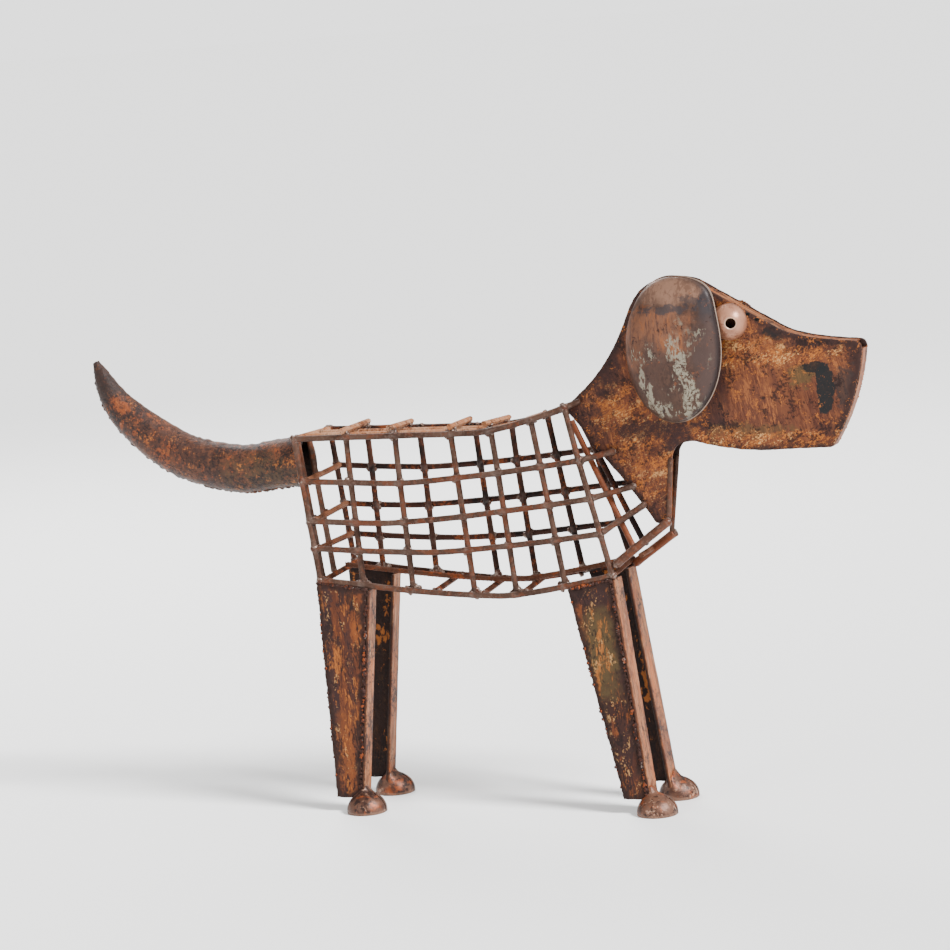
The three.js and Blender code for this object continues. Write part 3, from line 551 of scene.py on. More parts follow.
def bar_finish():
    bar = Finish("flat_bar_rust", paint(186, 130, 90))
    bar.coat(paint(172, 110, 74), 0.85, 0.5, 30, 0.14)
    run = bar.strip_lines()
    bar.coat(paint(200, 122, 66), 0.85, 0.46, 150, 0.06, (0.09, 1.6, 1), 0.1, vector=run)
    bar.coat(paint(98, 64, 48), 0.85, 0.40, 260, 0.05, (0.07, 1.5, 1), 0.1, vector=run)
    bar.coat(paint(232, 188, 152), 0.65, 0.34, 420, 0.05, (0.08, 1.5, 1), 0.1, vector=run)
    bar.coat(MID_BROWN, 0.75, 0.34, 80, 0.06, clump=0.7)
    bar.coat(DEEP_BROWN, 0.85, 0.30, 240, 0.05, clump=0.8)
    bar.layer(bar.ragged_note("rim", 160, 0.15, 0.6, 0.6, 1.1), paint(84, 60, 52), 0.8)
    # The back faces of the bars, inside the head, are painted dark as shade.
    bar.layer(bar.attribute("inside"), paint(60, 41, 36), 0.88)
    bar.shine(0.55)
    grooves = bar.patches(0.5, 320, 0.2, (0.05, 1.5, 1), 0.1, vector=run)
    return bar.finish(metallic=0.2, coarse=200, fine=900, strength=0.55, depth=0.0006,
                      extra=bar.both(grooves, 0.4))


print("leg and bar finishes ready")

# %% [markdown]
# ## Old paint on the ears
# The ears are pressed sheet that still carries scraps of pale paint and a band of
# orange rust high up. Their top is paler, partly its own colour and partly painted light.
# The smooth edge in front is painted dark as shade, its cut lip is painted bright as a
# highlight, and the hollow side is painted dark as shade. The scraps run down in
# ragged trails, so each trail is a mark multiplied by two grades of noise, which
# breaks it up at its edges as flaking paint does.

# %% Ears


def ear_finish():
    ear = Finish("painted_ear_sheet", paint(108, 85, 76))
    ear.coat(paint(92, 71, 62), 0.8, 0.5, 26, 0.16)
    ear.coat(paint(104, 78, 68), 0.7, 0.36, 150, 0.07, (1.3, 1, 0.5), clump=0.5)
    # A paler band across the top of the ear, partly its own colour and partly painted light on its upturned
    # top.
    ear.spot(paint(186, 148, 126), 0.85, (231, -40, 518), (46, 60, 14), 0.5, 60, 0.5)
    ear.coat(paint(128, 98, 84), 0.6, 0.40, 240, 0.07, (1.2, 1, 0.7), clump=0.5)
    for centre, size, strength in (((208, -40, 484), (34, 60, 16), 0.9),
                                   ((184, -40, 464), (14, 60, 26), 0.6),
                                   ((224, -40, 468), (22, 60, 12), 0.6)):
        band = ear.mark(centre, size, 0.7, 70, 0.45)
        ear.layer(band, paint(164, 118, 92), strength)
        smears = ear.both(band, ear.patches(0.40, 210, 0.06, (1.4, 1, 0.35), clump=0.5))
        ear.layer(smears, paint(182, 122, 82), 0.8)
        streaks = ear.both(band, ear.patches(0.36, 260, 0.06, (1.4, 1, 0.3), clump=0.5))
        ear.layer(streaks, paint(112, 84, 74), 0.8)
    ear.spot(paint(92, 84, 86), 0.8, (222, -40, 499), (26, 60, 3.5), 1.6, 90, 0.3)
    ear.spot(BLUE_GREY, 0.6, (246, -40, 508), (11, 60, 4), 1.6, 100, 0.3)
    ear.spot(BLUE_GREY, 0.92, (262, -40, 502), (8, 60, 19), 0.5, 80, 0.25)
    ear.spot(paint(108, 90, 85), 0.8, (260, -40, 448), (13, 60, 56), 0.5, 60, 0.5)
    ear.spot(paint(104, 80, 66), 0.7, (222, -40, 398), (44, 60, 16), 0.6, 60, 0.5)
    ear.spot(paint(112, 86, 76), 0.6, (206, -40, 440), (12, 60, 26), 0.6, 60, 0.5)
    flaked = ear.patches(0.58, 130, 0.03, (1.4, 1, 0.5), 1.2)
    worn = ear.patches(0.62, 330, 0.04)
    for centre, size, ragged, strength in (
        ((226, -40, 462), (6, 60, 13), 0.6, 0.9), ((234, -40, 444), (6.5, 60, 16), 0.5, 1.0),
        ((241, -40, 425), (6, 60, 15), 0.5, 1.0), ((237, -40, 403), (4, 60, 14), 0.5, 0.95),
        ((249, -40, 409), (3, 60, 14), 0.5, 0.95), ((192, -40, 432), (3.5, 60, 14), 0.6, 0.9),
        ((199, -40, 416), (4, 60, 12), 0.6, 0.95), ((208, -40, 403), (5.5, 60, 8), 0.6, 0.95),
    ):
        trail = ear.both(ear.mark(centre, size, ragged, 130, 0.12), flaked)
        ear.layer(ear.both(trail, worn), PALE_PAINT, strength)
    spatter = ear.patches(0.34, 190, 0.03, (1.3, 1, 0.7), clump=0.6)
    for centre, size, strength in (((192, -40, 458), (14, 60, 10), 0.9), ((255, -40, 480), (4, 60, 9), 0.7),
                                   ((222, -40, 402), (22, 60, 7), 0.8),
                                   ((238, -40, 430), (18, 60, 44), 0.6)):
        spot = ear.mark(centre, size, 0.9, 100, 0.4)
        ear.layer(ear.both(spot, spatter), PALE_PAINT, strength)
    ear.coat(paint(72, 52, 48), 0.8, 0.16, 320, 0.04, clump=0.7)
    ear.coat(paint(166, 108, 74), 0.6, 0.12, 300, 0.05, clump=0.8)
    # Painted shade on the smooth front edge, a painted highlight on the cut lip, and painted shade in the
    # hollow side.
    ear.layer(ear.attribute("rim"), paint(70, 61, 62), 0.85)
    ear.layer(ear.attribute("lip"), paint(190, 170, 156), 0.9)
    ear.layer(ear.attribute("inside"), paint(84, 58, 50), 0.9)
    ear.shine(0.38, ear.patches(0.5, 60, 0.1), 0.55)
    return ear.finish(metallic=0.3, coarse=150, fine=900, strength=0.45, depth=0.0007, gloss=0.25)


print("ear finish ready")

# %% [markdown]
# ## Eyes, tail and feet
# The eyes and feet were polished by many hands, so they are smoother and lighter.
# The tail is the darkest piece: rolled sheet, mottled at the scale of a coin, with
# an orange bloom halfway up.

# %% Eyes, tail and feet


def eye_finish():
    eye = Finish("eye_ball_steel", paint(218, 166, 138))
    eye.coat(paint(186, 134, 108), 0.85, 0.5, 60, 0.14)
    eye.coat(paint(150, 98, 76), 0.6, 0.26, 260, 0.06, clump=0.6)
    # Painted contact shadow where the ball meets the plate, a painted highlight round the edge of the hole,
    # and painted shade inside the hole.
    eye.layer(eye.attribute("rim"), paint(120, 78, 62), 0.75)
    eye.layer(eye.attribute("lip"), paint(240, 208, 186), 0.9)
    eye.layer(eye.attribute("inside"), paint(20, 15, 14), 0.97)
    eye.shine(0.36)
    return eye.finish(metallic=0.25, coarse=160, fine=1200, strength=0.35, depth=0.0004, gloss=0.4)


def horn_finish():
    horn = Finish("horn_sheet_rust", paint(88, 64, 56))
    horn.coat(paint(110, 76, 62), 0.8, 0.5, 40, 0.10)
    horn.spot(OLIVE, 0.35, (-225, -15, 346), (46, 40, 22), 0.7, 60, 0.5)
    horn.coat(paint(66, 52, 51), 0.9, 0.42, 90, 0.05, (1, 1, 1), 1.2, clump=0.6)
    horn.coat(paint(136, 92, 68), 0.7, 0.38, 260, 0.06, clump=0.6)
    for centre, size, strength in (((-384, 0, 420), (15, 40, 10), 0.8), ((-345, 0, 402), (26, 40, 10), 0.7),
                                   ((-318, 0, 372), (12, 40, 16), 0.6), ((-225, 0, 362), (40, 40, 8), 0.5)):
        bloom = horn.mark(centre, size, 0.9, 90, 0.4)
        spots = horn.both(bloom, horn.patches(0.40, 210, 0.05, clump=0.6))
        horn.layer(spots, paint(190, 112, 64), 0.8 * strength)
    horn.coat(paint(176, 104, 62), 0.8, 0.18, 240, 0.05, clump=0.8)
    horn.coat(OCHRE, 0.7, 0.16, 460, 0.05, clump=0.8)
    horn.coat(paint(52, 42, 42), 0.8, 0.34, 330, 0.05, clump=0.6)
    horn.spot(paint(74, 60, 56), 0.8, (-405, 0, 445), (24, 40, 30), 0.6, 60, 0.4)
    horn.layer(horn.attribute("ridge"), paint(132, 102, 88), 0.5)
    horn.layer(horn.attribute("seam"), paint(62, 46, 42), 0.8)
    # Painted shade inside the hollow of the horn.
    horn.layer(horn.attribute("inside"), paint(34, 25, 23), 0.93)
    horn.shine(0.5)
    return horn.finish(metallic=0.15, coarse=210, fine=800, strength=1.0, depth=0.0014, gloss=0.25)


def foot_finish():
    foot = Finish("foot_dome_steel", paint(146, 110, 92))
    foot.coat(paint(100, 70, 58), 0.9, 0.5, 60, 0.12)
    foot.coat(ORANGE, 0.7, 0.28, 110, 0.06, clump=0.6)
    foot.coat(DEEP_BROWN, 0.85, 0.38, 200, 0.05, clump=0.8)
    foot.coat(paint(226, 184, 158), 0.7, 0.20, 320, 0.05, clump=0.6)
    # Painted shade inside the saw cut at the toe.
    foot.layer(foot.attribute("inside"), paint(34, 25, 23), 0.95)
    foot.layer(foot.attribute("rim"), paint(180, 146, 126), 0.4)
    foot.shine(0.42)
    return foot.finish(metallic=0.3, coarse=220, fine=900, strength=0.6, depth=0.0008, gloss=0.35)


FINISHES = {
    "rod": rod_finish(), "weld": weld_finish(), "crust": crust_finish(), "ribbed": ribbed_finish(),
    "head": head_finish(),
    "leg": leg_finish(), "bar": bar_finish(), "ear": ear_finish(), "eye": eye_finish(),
    "horn": horn_finish(), "foot": foot_finish(),
}
print("finishes:", ", ".join(FINISHES))

# %% [markdown]
# ## Making meshes from rows of points
# A bent rod is a row of rings along a path. Building the rings in code, instead
# of scaling a stock cylinder, lets the rod swell at each weld, carry hammer marks
# and keep a note on every point of how near a weld it is, which the finish reads.

# %% Paths and shells


def spline(points, step):
    """Even steps along a smooth curve through the points (a Catmull-Rom curve)."""
    p = np.array(points, float)
    p = np.vstack([2 * p[0] - p[1], p, 2 * p[-1] - p[-2]])
    fine = []
    t = np.linspace(0, 1, 24, endpoint=False)[:, None]
    for a, b, c, d in zip(p[:-3], p[1:-2], p[2:-1], p[3:]):
        fine.append(0.5 * (2 * b + (c - a) * t + (2 * a - 5 * b + 4 * c - d) * t**2
                           + (3 * b - a - 3 * c + d) * t**3))
    fine.append(p[-2][None])
    return even(np.vstack(fine), step)


def even(line, step):
    line = np.array(line, float)
    run = np.concatenate([[0], np.cumsum(np.linalg.norm(np.diff(line, axis=0), axis=1))])
    count = max(2, int(round(run[-1] / step)) + 1)
    at = np.linspace(0, run[-1], count)
    return np.stack([np.interp(at, run, line[:, i]) for i in range(line.shape[1])], 1)


def wave(points, size, seed=0):
    """Smooth noise from -1 to 1 at each point, with lumps about size millimetres across."""
    off = Vector((seed * 7.13, seed * 3.71, seed * 5.37))
    return np.array([noise.noise(Vector(p) / size + off) for p in points])


def in_metres(points):
    """Points of the drawing in millimetres, as places in the frame."""
    return ((np.asarray(points, float) + (SHIFT_X, 0, 0)) * MM).tolist()


class Shell:
    """Points in millimetres, faces, and named values on the points."""

    def __init__(self):
        self.points, self.faces, self.notes, self.count = [], [], {}, 0

    def add(self, points, faces, **notes):
        points = np.asarray(points, float)
        self.faces += [[i + self.count for i in f] for f in faces]
        for name in set(self.notes) | set(notes):
            value = np.broadcast_to(np.asarray(notes.get(name, 0.0), float), (len(points),))
            self.notes.setdefault(name, [np.zeros(self.count)] if self.count else [])
            self.notes[name].append(value)
        self.points.append(points)
        self.count += len(points)

    def mesh(self, name, finish):
        mesh = bpy.data.meshes.new(name)
        mesh.from_pydata(in_metres(np.vstack(self.points)), [], self.faces)
        for note, values in self.notes.items():
            layer = mesh.attributes.new(note, "FLOAT", "POINT")
            layer.data.foreach_set("value", np.concatenate(values).astype(np.float32))
        mesh.materials.append(FINISHES[finish])
        bm = bmesh.new()
        bm.from_mesh(mesh)
        bmesh.ops.recalc_face_normals(bm, faces=bm.faces)
        bm.to_mesh(mesh)
        bm.free()
        return mesh


def tangents(path):
    along = np.gradient(path, axis=0)
    return along / np.linalg.norm(along, axis=1)[:, None]


def ring_faces(rings, sides):
    faces = []
    for r in range(rings - 1):
        for s in range(sides):
            a, b = r * sides + s, r * sides + (s + 1) % sides
            faces.append([a, b, b + sides, a + sides])
    return faces


def end_fans(rings, sides):
    """Fans that close the first and last ring with the two points that follow the rings."""
    faces = []
    for s in range(sides):
        n = (s + 1) % sides
        faces.append([rings * sides, s, n])
        faces.append([(rings - 1) * sides + s, rings * sides + 1, (rings - 1) * sides + n])
    return faces


PIECES = {}
CREASE = math.radians(48)


def show(name, meshes, nodes=None):
    """One finished piece from one or more meshes, in place of its CAD node."""
    bm = bmesh.new()
    finishes = []
    for mesh in meshes:
        first = len(bm.faces)
        bm.from_mesh(mesh)
        bm.faces.ensure_lookup_table()
        kinds = list(mesh.materials)
        for kind in kinds:
            if kind not in finishes:
                finishes.append(kind)
        for face in bm.faces[first:]:
            face.material_index = finishes.index(kinds[min(face.material_index, len(kinds) - 1)])
            face.smooth = True
    whole = bpy.data.meshes.new(name)
    bm.to_mesh(whole)
    bm.free()
    for kind in finishes:
        whole.materials.append(kind)
    whole.set_sharp_from_angle(angle=CREASE)
    piece = bpy.data.objects.new("dog_" + name, whole)
    bpy.context.scene.collection.objects.link(piece)
    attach(piece, "root")
    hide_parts(*(nodes or [name]))
    PIECES[name] = piece
    return piece


print("ready to build", len(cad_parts), "pieces")

# %% A bent rod


def rod_shell(shell, path, diameter, joints=(), side=0, seed=0, sides=12, swell=0.55):
    """Adds one rod to a shell. side is -1 or 1 where one flank of the rod faces into the cage."""
    path = np.asarray(path, float)
    along = tangents(path)
    first = np.cross(along[0], (0.21, 0.93, 0.31))
    normals = []
    for t in along:
        first = first - t * np.dot(first, t)
        first /= np.linalg.norm(first)
        normals.append(first.copy())
    normals = np.array(normals)
    sideways = np.cross(along, normals)
    near = np.zeros(len(path))
    for joint in joints:
        near = np.maximum(near, np.exp(-(np.linalg.norm(path - joint, axis=1) / 4.5) ** 2))
    radius = diameter / 2 + swell * near + 0.12 * wave(path, 14, seed)
    turn = np.arange(sides) * 2 * math.pi / sides
    rings = (path[:, None] + radius[:, None, None] * (
        normals[:, None] * np.cos(turn)[None, :, None] + sideways[:, None] * np.sin(turn)[None, :, None]))
    grid = rings.reshape(-1, 3)
    away = grid - np.repeat(path, sides, axis=0)
    grid = grid + away / radius.repeat(sides)[:, None] * (0.10 * wave(grid, 3.2, seed + 5))[:, None]
    inside = np.zeros(len(grid))
    if side:
        inside = np.clip(0.5 - 0.5 * side * away[:, 1] / (diameter / 2), 0, 1)
    caps, cap_inside = [], []
    for end, t in ((0, -along[0]), (-1, along[-1])):
        base = path[end] + (rings[end] - path[end]) * 0.72 + t * 0.55
        caps.append(np.vstack([base, path[end] + t * 0.75]))
        cap_inside += [0.5] * (sides + 1)
    faces = ring_faces(len(path), sides)
    start = len(grid)
    for index, offset in ((0, 0), (1, (len(path) - 1) * sides)):
        ring = start + index * (sides + 1)
        for s in range(sides):
            n = (s + 1) % sides
            faces.append([offset + s, offset + n, ring + n, ring + s])
            faces.append([ring + s, ring + n, ring + sides])
    shell.add(np.vstack([grid] + caps), faces,
              weld=np.concatenate([near.repeat(sides), np.zeros(2 * sides + 2)]),
              inside=np.concatenate([inside, cap_inside]))


print("rod builder ready")

# %% [markdown]
# ## Weld beads
# Where two rods cross, the welder leaves small lumps of melted metal. They repeat
# by the hundred, so a Geometry Nodes tree sets one lumpy bead on every marked
# point, each with its own turn and size. Modelling them by hand would be slower,
# and a bump map wouldn't change the outline of the joint.

# %% Bead tree


def bead_tree():
    tree, given, out = new_group("weld_beads", [
        ("Geometry", "Geometry", None), ("Bead size", "Float", 1.0), ("Unevenness", "Float", 0.3),
        ("Seed", "Int", 1), ("Finish", "Material", None),
    ], [("Geometry", "Geometry")], "GeometryNodeTree")
    drop = add(tree, "GeometryNodeMeshUVSphere", Segments=9, Rings=6, Radius=1.0)
    place = tree.nodes.new("GeometryNodeInputPosition")
    lumps = add(tree, "ShaderNodeTexNoise", Vector=place.outputs[0], Scale=1.1, Detail=1.0)
    push = maths(tree, "MULTIPLY", maths(tree, "SUBTRACT", lumps.outputs[0], 0.5), given["Unevenness"])
    shift = add(tree, "ShaderNodeVectorMath", {"operation": "SCALE"}, Scale=push)
    tree.links.new(place.outputs[0], shift.inputs[0])
    lumpy = add(tree, "GeometryNodeSetPosition", Geometry=drop.outputs["Mesh"], Offset=shift.outputs[0])
    size = add(tree, "GeometryNodeInputNamedAttribute", {"data_type": "FLOAT"}, Name="size")
    spread = add(tree, "FunctionNodeRandomValue", {"data_type": "FLOAT"})
    spread.inputs[2].default_value = 0.75
    spread.inputs[3].default_value = 1.2
    tree.links.new(given["Seed"], spread.inputs["Seed"])
    turn = add(tree, "FunctionNodeRandomValue", {"data_type": "FLOAT_VECTOR"})
    turn.inputs[1].default_value = (6.3, 6.3, 6.3)
    tree.links.new(given["Seed"], turn.inputs["Seed"])
    scale = maths(tree, "MULTIPLY", size.outputs[0], spread.outputs[1])
    scale = maths(tree, "MULTIPLY", scale, given["Bead size"])
    beads = add(tree, "GeometryNodeInstanceOnPoints", Points=given["Geometry"],
                Instance=lumpy.outputs[0], Scale=scale)
    tree.links.new(turn.outputs[0], beads.inputs["Rotation"])
    real = add(tree, "GeometryNodeRealizeInstances", Geometry=beads.outputs[0])
    done = add(tree, "GeometryNodeSetMaterial", Geometry=real.outputs[0], Material=given["Finish"])
    tree.links.new(done.outputs[0], out["Geometry"])
    return tree


BEADS = bead_tree()


def from_tree(name, mesh, tree, finish, **values):
    """The plain mesh that a Geometry Nodes tree makes of a mesh."""
    carrier = bpy.data.objects.new(name, mesh)
    bpy.context.scene.collection.objects.link(carrier)
    modifier = carrier.modifiers.new(name, "NODES")
    modifier.node_group = tree
    values["Finish"] = FINISHES[finish]
    for item in tree.interface.items_tree:
        if item.in_out == "INPUT" and item.name.replace(" ", "_") in values:
            modifier[item.identifier] = values[item.name.replace(" ", "_")]
    made = bpy.data.meshes.new_from_object(carrier.evaluated_get(bpy.context.evaluated_depsgraph_get()))
    bpy.data.objects.remove(carrier)
    return made


def beads(name, points, sizes, finish="weld", seed=1):
    """Weld beads at points given in millimetres."""
    mesh = bpy.data.meshes.new(name + "_points")
    mesh.from_pydata(in_metres(points), [], [])
    layer = mesh.attributes.new("size", "FLOAT", "POINT")
    layer.data.foreach_set("value", np.broadcast_to(sizes, (len(points),)).astype(np.float32) * MM)
    return from_tree(name + "_beads", mesh, BEADS, finish, Bead_size=1.0, Unevenness=0.9, Seed=seed)


print("bead tree:", len(BEADS.nodes), "nodes")

# %% Ribbed bar tree


def ribbed_tree():
    tree, given, out = new_group("ribbed_bar", [
        ("Geometry", "Geometry", None), ("Diameter", "Float", 0.006), ("Rib height", "Float", 0.0004),
        ("Rib spacing", "Float", 0.004), ("Rib lean", "Float", 0.5), ("Finish", "Material", None),
    ], [("Geometry", "Geometry")], "GeometryNodeTree")
    line = add(tree, "GeometryNodeMeshToCurve", Mesh=given["Geometry"])
    core = maths(tree, "SUBTRACT", maths(tree, "MULTIPLY", given["Diameter"], 0.5), given["Rib height"])
    body_line = add(tree, "GeometryNodeResampleCurve", {"mode": "LENGTH"}, Curve=line.outputs[0],
                    Length=0.003)
    place = tree.nodes.new("GeometryNodeInputPosition")
    lumps = add(tree, "ShaderNodeTexNoise", Vector=place.outputs[0], Scale=160.0, Detail=2.0)
    profile = add(tree, "GeometryNodeCurvePrimitiveCircle", {"mode": "RADIUS"}, Resolution=12, Radius=core)
    body = add(tree, "GeometryNodeCurveToMesh", Curve=body_line.outputs[0],
               Profile_Curve=profile.outputs[0], Fill_Caps=True)
    normal = tree.nodes.new("GeometryNodeInputNormal")
    push = maths(tree, "MULTIPLY", maths(tree, "SUBTRACT", lumps.outputs[0], 0.5), 0.0007)
    shift = add(tree, "ShaderNodeVectorMath", {"operation": "SCALE"}, Scale=push)
    tree.links.new(normal.outputs[0], shift.inputs[0])
    rough = add(tree, "GeometryNodeSetPosition", Geometry=body.outputs[0], Offset=shift.outputs[0])
    keel_profile = add(tree, "GeometryNodeCurvePrimitiveCircle", {"mode": "RADIUS"}, Resolution=6,
                       Radius=given["Rib height"])
    keel_at = add(tree, "ShaderNodeCombineXYZ", X=core)
    keel_low = add(tree, "ShaderNodeCombineXYZ", X=maths(tree, "MULTIPLY", core, -1.0))
    keels = add(tree, "GeometryNodeJoinGeometry")
    for where in (keel_at, keel_low):
        moved = add(tree, "GeometryNodeTransform", Geometry=keel_profile.outputs[0],
                    Translation=where.outputs[0])
        tree.links.new(moved.outputs[0], keels.inputs[0])
    keel = add(tree, "GeometryNodeCurveToMesh", Curve=body_line.outputs[0],
               Profile_Curve=keels.outputs[0], Fill_Caps=True)
    arc = add(tree, "GeometryNodeCurveArc", {"mode": "RADIUS"}, Resolution=7, Radius=core,
              Start_Angle=math.radians(15), Sweep_Angle=math.radians(150))
    rib_profile = add(tree, "GeometryNodeCurvePrimitiveCircle", {"mode": "RADIUS"}, Resolution=5,
                      Radius=given["Rib height"])
    crescent = add(tree, "GeometryNodeCurveToMesh", Curve=arc.outputs[0],
                   Profile_Curve=rib_profile.outputs[0], Fill_Caps=True)
    ribs = add(tree, "GeometryNodeJoinGeometry")
    for turn in (0.0, math.pi):
        lean = add(tree, "ShaderNodeCombineXYZ", X=0.0, Y=given["Rib lean"], Z=turn)
        turned = add(tree, "GeometryNodeTransform", Geometry=crescent.outputs[0], Rotation=lean.outputs[0])
        tree.links.new(turned.outputs[0], ribs.inputs[0])
    rib_line = add(tree, "GeometryNodeResampleCurve", {"mode": "LENGTH"}, Curve=line.outputs[0],
                   Length=given["Rib spacing"])
    tangent = tree.nodes.new("GeometryNodeInputTangent")
    aim = add(tree, "FunctionNodeAlignRotationToVector", {"axis": "Z"}, Vector=tangent.outputs[0])
    placed = add(tree, "GeometryNodeInstanceOnPoints", Points=rib_line.outputs[0], Instance=ribs.outputs[0],
                 Rotation=aim.outputs[0])
    together = add(tree, "GeometryNodeJoinGeometry")
    for part in (rough, keel, placed):
        tree.links.new(part.outputs[0], together.inputs[0])
    real = add(tree, "GeometryNodeRealizeInstances", Geometry=together.outputs[0])
    done = add(tree, "GeometryNodeSetMaterial", Geometry=real.outputs[0], Material=given["Finish"])
    tree.links.new(done.outputs[0], out["Geometry"])
    return tree


RIBBED = ribbed_tree()


def ribbed_bar(name, path, diameter):
    """A ribbed bar along a path in millimetres."""
    mesh = bpy.data.meshes.new(name + "_path")
    mesh.from_pydata(in_metres(path), [[i, i + 1] for i in range(len(path) - 1)], [])
    return from_tree(name + "_bar", mesh, RIBBED, "ribbed", Diameter=diameter * MM, Rib_height=0.0006,
                     Rib_spacing=0.0042, Rib_lean=0.45)


print("ribbed bar tree:", len(RIBBED.nodes), "nodes")

# %% [markdown]
# ## The cage of rods
# Five rails run along each side, from the rump to the chest, and seven uprights
# stand inside them. The rails bow outwards and sag in the middle, so their places
# come from the same few curves as in the CAD. Each crossing gets weld beads, and
# the rods swell there, as the molten metal draws them together.

# %% Rails and crossings
ROD, RIBBED_BAR, THICK_BAR, WELD_SINK, GAP = 6.0, 6.4, 8.6, 0.9, 0.3
ROD_STEP = 3.0
RUMP_X, CHEST_X, BACK_RISE_START, BACK_RISE_END = -176.5, 148.0, 15.0, 120.0
RUMP_HALF, WAIST_HALF, TOP_CHEST_HALF, HEAD_WIDTH = 42.0, 37.5, 33.0, 26.0
TOP_RAIL_Z, TOP_RAIL_RISE, TOP_RAIL_LIFT, RAIL_CURVE = 384.5, 26, -2.5, 1.4
# Each lower rail: height at the rump, lowest height and its x, height and half width at the chest,
# and how much higher the left one hangs.
SIDE_RAILS = (
    (341.5, 337.0, -65.0, 357.0, 24.0, 3.5), (301.0, 296.7, -85.0, 318.0, 27.0, 4.5),
    (273.0, 266.0, -35.0, 282.0, 29.5, 1.0), (242.0, 220.5, 30.0, 239.5, 32.0, 4.0),
)
UPRIGHTS = ((-176.5, -161.0, 4.0), (-123.0, -117.0, -6.0), (-71.0, -64.0, 0.0), (-12.0, 1.0, 2.0),
            (30.0, 44.5, 0.0), (70.5, 95.5, 0.0), (105.0, 146.0, 0.0))


def bow(chest_half, x):
    along = (x - (RUMP_X + CHEST_X) / 2) / ((CHEST_X - RUMP_X) / 2)
    ends = (chest_half + RUMP_HALF) / 2 - WAIST_HALF
    return WAIST_HALF + (chest_half - RUMP_HALF) / 2 * along + ends * along * along


def back_rise(x):
    return max(0.0, (x - BACK_RISE_START) / (BACK_RISE_END - BACK_RISE_START))


NECK_SIDE = HEAD_WIDTH / 2 + ROD / 2 + GAP
NECK_TAPER = bow(TOP_CHEST_HALF, BACK_RISE_END) - NECK_SIDE


def rail_y(rail, x):
    if rail == 0:
        return bow(TOP_CHEST_HALF, x) - NECK_TAPER * back_rise(x) ** 2
    return bow(SIDE_RAILS[rail - 1][4], x)


def rail_z(rail, x, y):
    if rail == 0:
        height, lift = TOP_RAIL_Z + TOP_RAIL_RISE * back_rise(x) ** RAIL_CURVE, TOP_RAIL_LIFT
    else:
        rump, lowest, lowest_x, chest, _, lift = SIDE_RAILS[rail - 1]
        end_x, end_z = (RUMP_X, rump) if x < lowest_x else (CHEST_X, chest)
        share = max(0.0, (x - lowest_x) / (end_x - lowest_x))
        height = lowest + (end_z - lowest) * share**RAIL_CURVE
    share = min(1.0, max(0.0, (y / rail_y(rail, x) + 1) / 2))
    return height + lift * share


def crossing(upright, rail, side):
    top, bottom, left_shift = UPRIGHTS[upright]

    def height(r, at):
        return rail_z(r, at, side * rail_y(r, at))

    top_z, bottom_z, x = height(0, top), height(4, bottom), top
    for _ in range(6):
        x = top + (bottom - top) * (top_z - height(rail, x)) / (top_z - bottom_z)
    shifted = x + (left_shift if side > 0 else 0)
    return np.array([shifted, side * rail_y(rail, x), height(rail, x)])


def rail_path(rail, side):
    start = crossing(0, rail, side)[0]
    end = BACK_RISE_END if rail == 0 else crossing(6, rail, side)[0]
    line = [(x, side * rail_y(rail, x), rail_z(rail, x, side * rail_y(rail, x)))
            for x in np.linspace(start, end, 60)]
    line = even(line, ROD_STEP)
    sway = np.sin(np.linspace(0, math.pi, len(line))) ** 0.5
    line[:, 2] += 0.7 * wave(line, 60, rail + 2 * side) * sway
    line[:, 1] += 0.6 * wave(line, 75, rail + 9) * sway
    return line


def upright_points(upright, side):
    inward = 0 if upright in (0, 6) else ROD - WELD_SINK
    return np.array([crossing(upright, rail, side) - (0, side * inward, 0) for rail in range(5)])


print("near top rail rises to", round(rail_z(0, BACK_RISE_END, -16.3), 1), "mm")

# %% Side grilles with their welds
rng = np.random.default_rng(7)


def joint_beads(joint, side, corner):
    """Places and sizes of the lumps round one crossing."""
    places, sizes = [], []
    for dx, dz in ((-1, 1), (1, 1), (1, -1), (-1, -1)):
        if rng.random() < (0.95 if corner else 0.7):
            reach = 1.9 if corner else 2.5
            y = joint[1] + side * rng.uniform(-2.2, 0.6)
            places.append((joint[0] + dx * reach, y, joint[2] + dz * reach))
            sizes.append(rng.uniform(2.0, 3.0) if corner else rng.uniform(1.7, 2.6))
    if corner:
        places.append(joint)
        sizes.append(rng.uniform(3.7, 4.2))
    elif rng.random() < 0.5:
        for step in (2.6, 3.8, 5.2):
            places.append((joint[0] - step, joint[1] - side * 0.8, joint[2] - 6.6 + step))
            sizes.append(2.1)
    return places, sizes


FLARE = ((-3.6, 2.2), (3.6, 2.2), (-1.5, 4.6), (1.8, 4.4), (0, 6.8), (-5.6, 1.2), (5.4, 1.0))


def foot_flare(joint, side):
    """An upright spreads into a fat weld where it stands on the bottom rail."""
    places = [(joint[0] + dx, joint[1] - side * rng.uniform(0, 1.5), joint[2] + dz) for dx, dz in FLARE]
    return places, [rng.uniform(2.3, 3.3) for _ in places]


